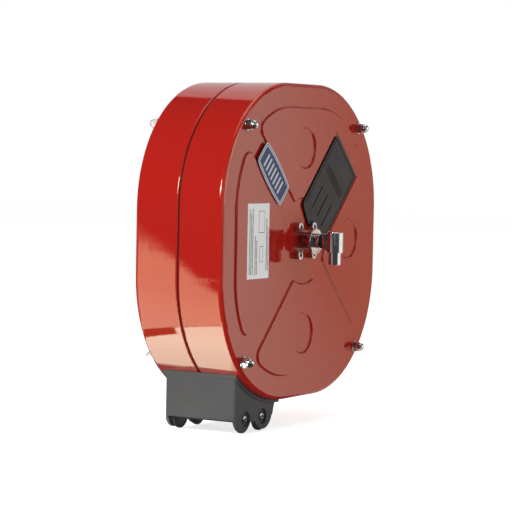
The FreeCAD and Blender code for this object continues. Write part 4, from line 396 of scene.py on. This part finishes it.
badge, tree, surface = finish("badge_enamel")
place = wire(tree, "TexCoord")
middle = wire(tree, "VectorMath", {0: place.outputs["Object"], 1: BADGE_MIDDLE}, operation="SUBTRACT")
turned = wire(tree, "Mapping", {"Vector": middle.outputs[0], "Rotation": (0.0, BADGE_TURN, 0.0)})
field = wire(tree, "SeparateXYZ", {0: turned.outputs[0]})
raised = wire(tree, "Math", {0: field.outputs["Y"], 1: LINE_LEVEL}, operation="LESS_THAN")
stripe = wire(tree, "Math", {0: field.outputs["X"], 1: BAR_PITCH}, operation="PINGPONG")
stripe = wire(tree, "Math", {0: stripe.outputs[0], 1: BAR_PITCH * BAR_SHARE}, operation="LESS_THAN")
reach = wire(tree, "Math", {0: field.outputs["X"], 1: 0.0, 2: BAR_ROW}, operation="COMPARE")
height = wire(tree, "Math", {0: field.outputs["Z"], 1: 0.0, 2: BAR_HEIGHT}, operation="COMPARE")
bars = joined(joined(stripe.outputs[0], reach.outputs[0]), height.outputs[0])
enamel = blend(tree, bars, BADGE_BLUE, BADGE_BAR)
rough = placed(tree, drift, Scale=120.0, Low=0.34, High=0.46)
shade(tree, surface, blend(tree, raised.outputs[0], enamel, BADGE_LINE), rough.outputs["Tone"],
      Specular_IOR_Level=0.3)
coat(badge, "badge_plate")


# Data label: white self-adhesive film, printed in near black with broken ruled lines and two empty
# boxes. The print is placed in millimetres from the label's lower left corner.
LABEL_SHADE = (0.93, 0.93, 0.925, 1)
LABEL_WHITE = (0.96, 0.96, 0.955, 1)
LABEL_INK = (0.07, 0.07, 0.07, 1)
LABEL_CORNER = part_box("data_label")[0]
UPPER_BOX = (30, 46, 62, 92)
LOWER_BOX = (33, 42, 22, 44)
BOX_LINE = 0.8
RULE_WIDTH = 2.2
RULES = ((5, 6, 95), (9, 6, 88), (13, 6, 95), (20, 6, 58), (24, 6, 52), (50, 10, 82), (54, 10, 70))
INK_BREAK = 0.42
label_white, tree, surface = finish("label_white")
place = wire(tree, "TexCoord")
corner = wire(tree, "VectorMath", {0: place.outputs["Object"], 1: LABEL_CORNER}, operation="SUBTRACT")
across = wire(tree, "SeparateXYZ", {0: corner.outputs[0]})


def band(label, low, high):
    """A mask of the label between two distances from its corner, in millimetres."""
    return wire(tree, "Math", {0: across.outputs[label], 1: (low + high) / 2000, 2: (high - low) / 2000},
                operation="COMPARE").outputs[0]


def outline(left, right, low, high):
    """An empty printed box."""
    outside = joined(band("X", left, right), band("Z", low, high))
    inside = joined(band("X", left + BOX_LINE, right - BOX_LINE), band("Z", low + BOX_LINE, high - BOX_LINE))
    return joined(outside, inside, "SUBTRACT")


ink = joined(outline(*UPPER_BOX), outline(*LOWER_BOX), "MAXIMUM")
dashes = wire(tree, "TexNoise", {"Vector": place.outputs["Object"], "Scale": 900.0, "Detail": 0.0})
broken = wire(tree, "Math", {0: dashes.outputs[0], 1: INK_BREAK}, operation="GREATER_THAN").outputs[0]
for left, low, high in RULES:
    rule = joined(band("X", left, left + RULE_WIDTH), band("Z", low, high))
    ink = joined(ink, joined(rule, broken), "MAXIMUM")
rough = placed(tree, drift, Scale=80.0, Low=0.28, High=0.38)
paper = placed(tree, drift, Scale=30.0)
sheet = blend(tree, paper.outputs["Tone"], LABEL_SHADE, LABEL_WHITE)
shade(tree, surface, blend(tree, ink, sheet, LABEL_INK), rough.outputs["Tone"])
coat(label_white, "data_label")


# The studio floor: pale and plain, just under the outlet. To glossy rays it glows instead with a painted
# reflection of the stretches of a lit studio. Each line below is a direction along the floor, and where
# a change starts and ends.
FLOOR_LEVEL = -0.2615
FLOOR_REACH = 8.0
FLOOR_EDGE = -6.4
FLOOR_PALE = (0.85, 0.85, 0.85, 1)
FLOOR_GLOW = (0.75, 0.75, 0.75, 1)
FLOOR_GREY = (0.3, 0.3, 0.3, 1)
BLACK = (0, 0, 0, 1)
# Painted reflection: a warm stretch beside the reel that fades out far off, with a dark tongue in it
WARM_FAR = (2.8, 2.25, 1.7, 1)
WARM_CLOSE = (3.5, 2.6, 2.1, 1)
WARM_TURN = ((1.0, 0.0, 0.0), -0.8, -0.4)
WARM_FADE = ((1.0, 0.0, 0.0), -5.9, -4.0)
TONGUE_END = ((-0.663, -1.0, 0.0), 0.313, 0.316)
TONGUE_SIDE = ((-0.61, -1.0, 0.0), 0.228, 0.236)
# Painted reflection: a bright stretch close to the reel, with a dark wedge and crease at its edge
BRIGHT_FAR = (5.7, 6.6, 6.0, 1)
BRIGHT_CLOSE = (3.8, 3.9, 3.35, 1)
BRIGHT_TURN = ((1.0, 0.0, 0.0), -0.25, -0.15)
BRIGHT_EDGE = ((1.0, -0.9, 0.0), -0.366, -0.364)
WEDGE_DARK = (0.4, 0.25, 0.12, 1)
WEDGE_SIDE = ((-1.0, 0.8, 0.0), 0.307, 0.311)
WEDGE_END = ((0.5, 1.0, 0.0), -0.104, -0.100)
CREASE_SIDE = ((-1.0, 0.9, 0.0), 0.358, 0.361)
# Painted reflection: a haze before the reel that its face mirrors, paler to the left, dark at the far left
HAZE_PALE = (1.0, 1.05, 0.98, 1)
HAZE_WARM = (0.80, 0.52, 0.40, 1)
HAZE_DARK = (0.05, 0.05, 0.05, 1)
HAZE_TURN = ((0.577, 1.0, 0.0), -0.28, 0.02)
HAZE_START = ((1.0, 0.0, 0.0), 0.05, 0.12)
# The two stretches lie only in the strip that the left wall mirrors, and the haze only before the face
STRIP_FRONT = ((0.577, 1.0, 0.0), -0.58, -0.53)
STRIP_BACK = ((-0.577, -1.0, 0.0), -0.12, -0.06)
STRIP_START = ((-1.0, 0.0, 0.0), 0.145, 0.155)
FACE_LINE = ((0.0, 1.0, 0.0), -0.09, -0.07)
floor_mesh = bpy.data.meshes.new("floor")
form = bmesh.new()
bmesh.ops.create_grid(form, x_segments=1, y_segments=1, size=FLOOR_REACH,
                      matrix=Matrix.Translation((FLOOR_REACH + FLOOR_EDGE, 0, FLOOR_LEVEL)))
form.to_mesh(floor_mesh)
form.free()
floor = bpy.data.objects.new("floor", floor_mesh)
bpy.context.scene.collection.objects.link(floor)
pale, tree, surface = finish("pale_floor_painted_reflection")
surface.inputs["Roughness"].default_value = 0.9
surface.inputs["Specular IOR Level"].default_value = 0.0
ray = wire(tree, "LightPath")
tree.links.new(blend(tree, ray.outputs["Is Glossy Ray"], FLOOR_PALE, BLACK), surface.inputs["Base Color"])
place = wire(tree, "TexCoord")


def beyond(line, start, end):
    """A mask of the floor that rises from 0 to 1 across a line."""
    along = wire(tree, "VectorMath", {0: place.outputs["Object"], 1: line}, operation="DOT_PRODUCT")
    made = wire(tree, "MapRange", {"Value": along.outputs["Value"], "From Min": start, "From Max": end})
    return made.outputs[0]


stretch = blend(tree, beyond(*WARM_TURN), WARM_FAR, WARM_CLOSE)
stretch = blend(tree, beyond(*WARM_FADE), BLACK, stretch)
tongue = joined(beyond(*TONGUE_END), beyond(*TONGUE_SIDE))
stretch = blend(tree, tongue, stretch, BLACK)
bright = blend(tree, beyond(*BRIGHT_TURN), BRIGHT_FAR, BRIGHT_CLOSE)
beside = blend(tree, beyond(*BRIGHT_EDGE), stretch, bright)
wedge = joined(beyond(*BRIGHT_EDGE), beyond(*WEDGE_SIDE))
wedge = joined(wedge, beyond(*WEDGE_END))
crease = joined(beyond(*BRIGHT_EDGE), beyond(*CREASE_SIDE))
beside = blend(tree, joined(wedge, crease, "MAXIMUM"), beside, WEDGE_DARK)
haze = blend(tree, beyond(*HAZE_TURN), HAZE_PALE, HAZE_WARM)
before = blend(tree, beyond(*HAZE_START), HAZE_DARK, haze)
strip = joined(beyond(*STRIP_FRONT), beyond(*STRIP_BACK))
strip = joined(strip, beyond(*STRIP_START))
beside = blend(tree, strip, FLOOR_GREY, beside)
beside = blend(tree, beyond(*FACE_LINE), before, beside)
shown = blend(tree, ray.outputs["Is Camera Ray"], BLACK, FLOOR_GLOW)
# The floor glows evenly to the camera, and to glossy rays with the painted reflection
tree.links.new(blend(tree, ray.outputs["Is Glossy Ray"], shown, beside), surface.inputs["Emission Color"])
surface.inputs["Emission Strength"].default_value = 1.0
floor_mesh.materials.append(pale)


# The studio room: white where the camera sees it, and an even soft light on the object. Polished pieces
# see it dim at the left and behind, with a bright screen and ceiling elsewhere.
ROOM_WHITE = (1, 1, 1, 1)
ROOM_LIGHT = 0.28
ROOM_DIM = 0.03
SECOND_BOUNCE_LOSS = 0.85
LEFT_BACK = (-0.609, 0.609, 0.508)
FRONT_ABOVE = (0.2, -0.6, 0.775)
CAMERA_SIDE = (-0.69, -0.72, 0.0)
SCREEN_SIDE = (0.643, -0.766, 0.0)
OPEN_SIDE = (0.866, -0.5, 0.0)
FACE_MIRRORS = (0.873, -0.487, -0.04)
room = bpy.data.worlds.new("studio")
room.use_nodes = True
bpy.context.scene.world = room
tree = room.node_tree
backdrop = tree.nodes["Background"]
ray = wire(tree, "LightPath")
heading = wire(tree, "TexCoord")


def toward(direction, start, end, low, high):
    """A level that changes as a ray turns toward a direction of the room."""
    turned = wire(tree, "VectorMath", {0: heading.outputs["Generated"], 1: direction},
                  operation="DOT_PRODUCT")
    made = wire(tree, "MapRange", {"Value": turned.outputs["Value"], "From Min": start, "From Max": end,
                                   "To Min": low, "To Max": high}, interpolation_type="SMOOTHSTEP")
    return made.outputs[0]


dim_side = toward(LEFT_BACK, 0.37, 0.41, 0.0, 1.0)
dim_front = toward(FRONT_ABOVE, 0.72, 0.9, 1.0, 0.15)
behind_camera = toward(CAMERA_SIDE, 0.55, 0.8, 1.0, 0.12)
screen = toward(SCREEN_SIDE, 0.912, 0.952, 0.34, 0.95)
open_side = toward(OPEN_SIDE, 0.55, 0.85, 0.7, 0.0)
open_side = joined(joined(open_side, behind_camera), dim_front)
walls = joined(joined(screen, dim_front), open_side, "MAXIMUM")
room_seen = wire(tree, "Mix", {"Factor": dim_side, "A": walls, "B": ROOM_DIM})
faced = toward(FACE_MIRRORS, 0.985, 0.993, 0.0, 1.0)
room_seen = wire(tree, "Mix", {"Factor": faced, "A": room_seen.outputs["Result"], "B": 1.0})
polished = wire(tree, "Mix", {"Factor": ray.outputs["Is Glossy Ray"], "A": ROOM_LIGHT,
                              "B": room_seen.outputs["Result"]})
twice = joined(ray.outputs["Glossy Depth"], 1.5, "GREATER_THAN")
kept = wire(tree, "Math", {0: twice, 1: -SECOND_BOUNCE_LOSS, 2: 1.0}, operation="MULTIPLY_ADD")
polished = joined(polished.outputs["Result"], kept.outputs[0])
seen = joined(ray.outputs["Is Camera Ray"], ray.outputs["Is Transmission Ray"], "MAXIMUM")
level = wire(tree, "Mix", {"Factor": seen, "A": polished, "B": 1.0})
haze = blend(tree, toward(SCREEN_SIDE, 0.922, 0.944, 0.0, 1.0), HAZE_WARM, HAZE_PALE)
hazed = joined(faced, ray.outputs["Is Glossy Ray"])
tree.links.new(blend(tree, hazed, ROOM_WHITE, haze), backdrop.inputs["Color"])
tree.links.new(level.outputs["Result"], backdrop.inputs["Strength"])


# The lamps: a small one high at the left for the side wall and its glints, and two soft ones above and
# in front. Each has its place, its size and its power, and looks at the middle of the reel.
LAMPS = (("key_light", (-2.6, 0.35, 1.2), 0.6, 57),
         ("top_light", (0.3, -0.3, 2.6), 2.0, 14),
         ("front_fill", (1.0, -2.8, 0.8), 1.6, 17))
for name, spot, size, power in LAMPS:
    lamp = bpy.data.lights.new(name, "AREA")
    lamp.size = size
    lamp.energy = power
    holder = bpy.data.objects.new(name, lamp)
    holder.location = spot
    holder.rotation_euler = (-Vector(spot)).to_track_quat("-Z", "Y").to_euler()
    bpy.context.scene.collection.objects.link(holder)


# The camera: it stands at the left of the reel and a little above its middle, as fitted to the corner
# nuts of the photograph. The focal length was fitted in pixels of the photograph's frame.
STATION = Vector((-2.71618, -1.64464, 0.12885))
HEADING, PITCH, ROLL = 0.5269, -0.0488, 0.0187
FOCAL_PIXELS = 2210.96
FRAME_PIXELS = 512
SENSOR_WIDTH = 36
ahead = Vector((math.cos(PITCH) * math.cos(HEADING), math.cos(PITCH) * math.sin(HEADING), math.sin(PITCH)))
level_right = ahead.cross(Vector((0, 0, 1))).normalized()
level_up = level_right.cross(ahead)
right = level_right * math.cos(ROLL) + level_up * math.sin(ROLL)
up = level_up * math.cos(ROLL) - level_right * math.sin(ROLL)
camera = bpy.data.objects.new("camera", bpy.data.cameras.new("camera"))
camera.matrix_world = Matrix.Translation(STATION) @ Matrix((right, up, -ahead)).transposed().to_4x4()
camera.data.sensor_width = SENSOR_WIDTH
camera.data.lens = SENSOR_WIDTH * FOCAL_PIXELS / FRAME_PIXELS
camera.data.clip_end = 60
bpy.context.scene.collection.objects.link(camera)
bpy.context.scene.camera = camera
bpy.context.scene.view_settings.view_transform = "Standard"
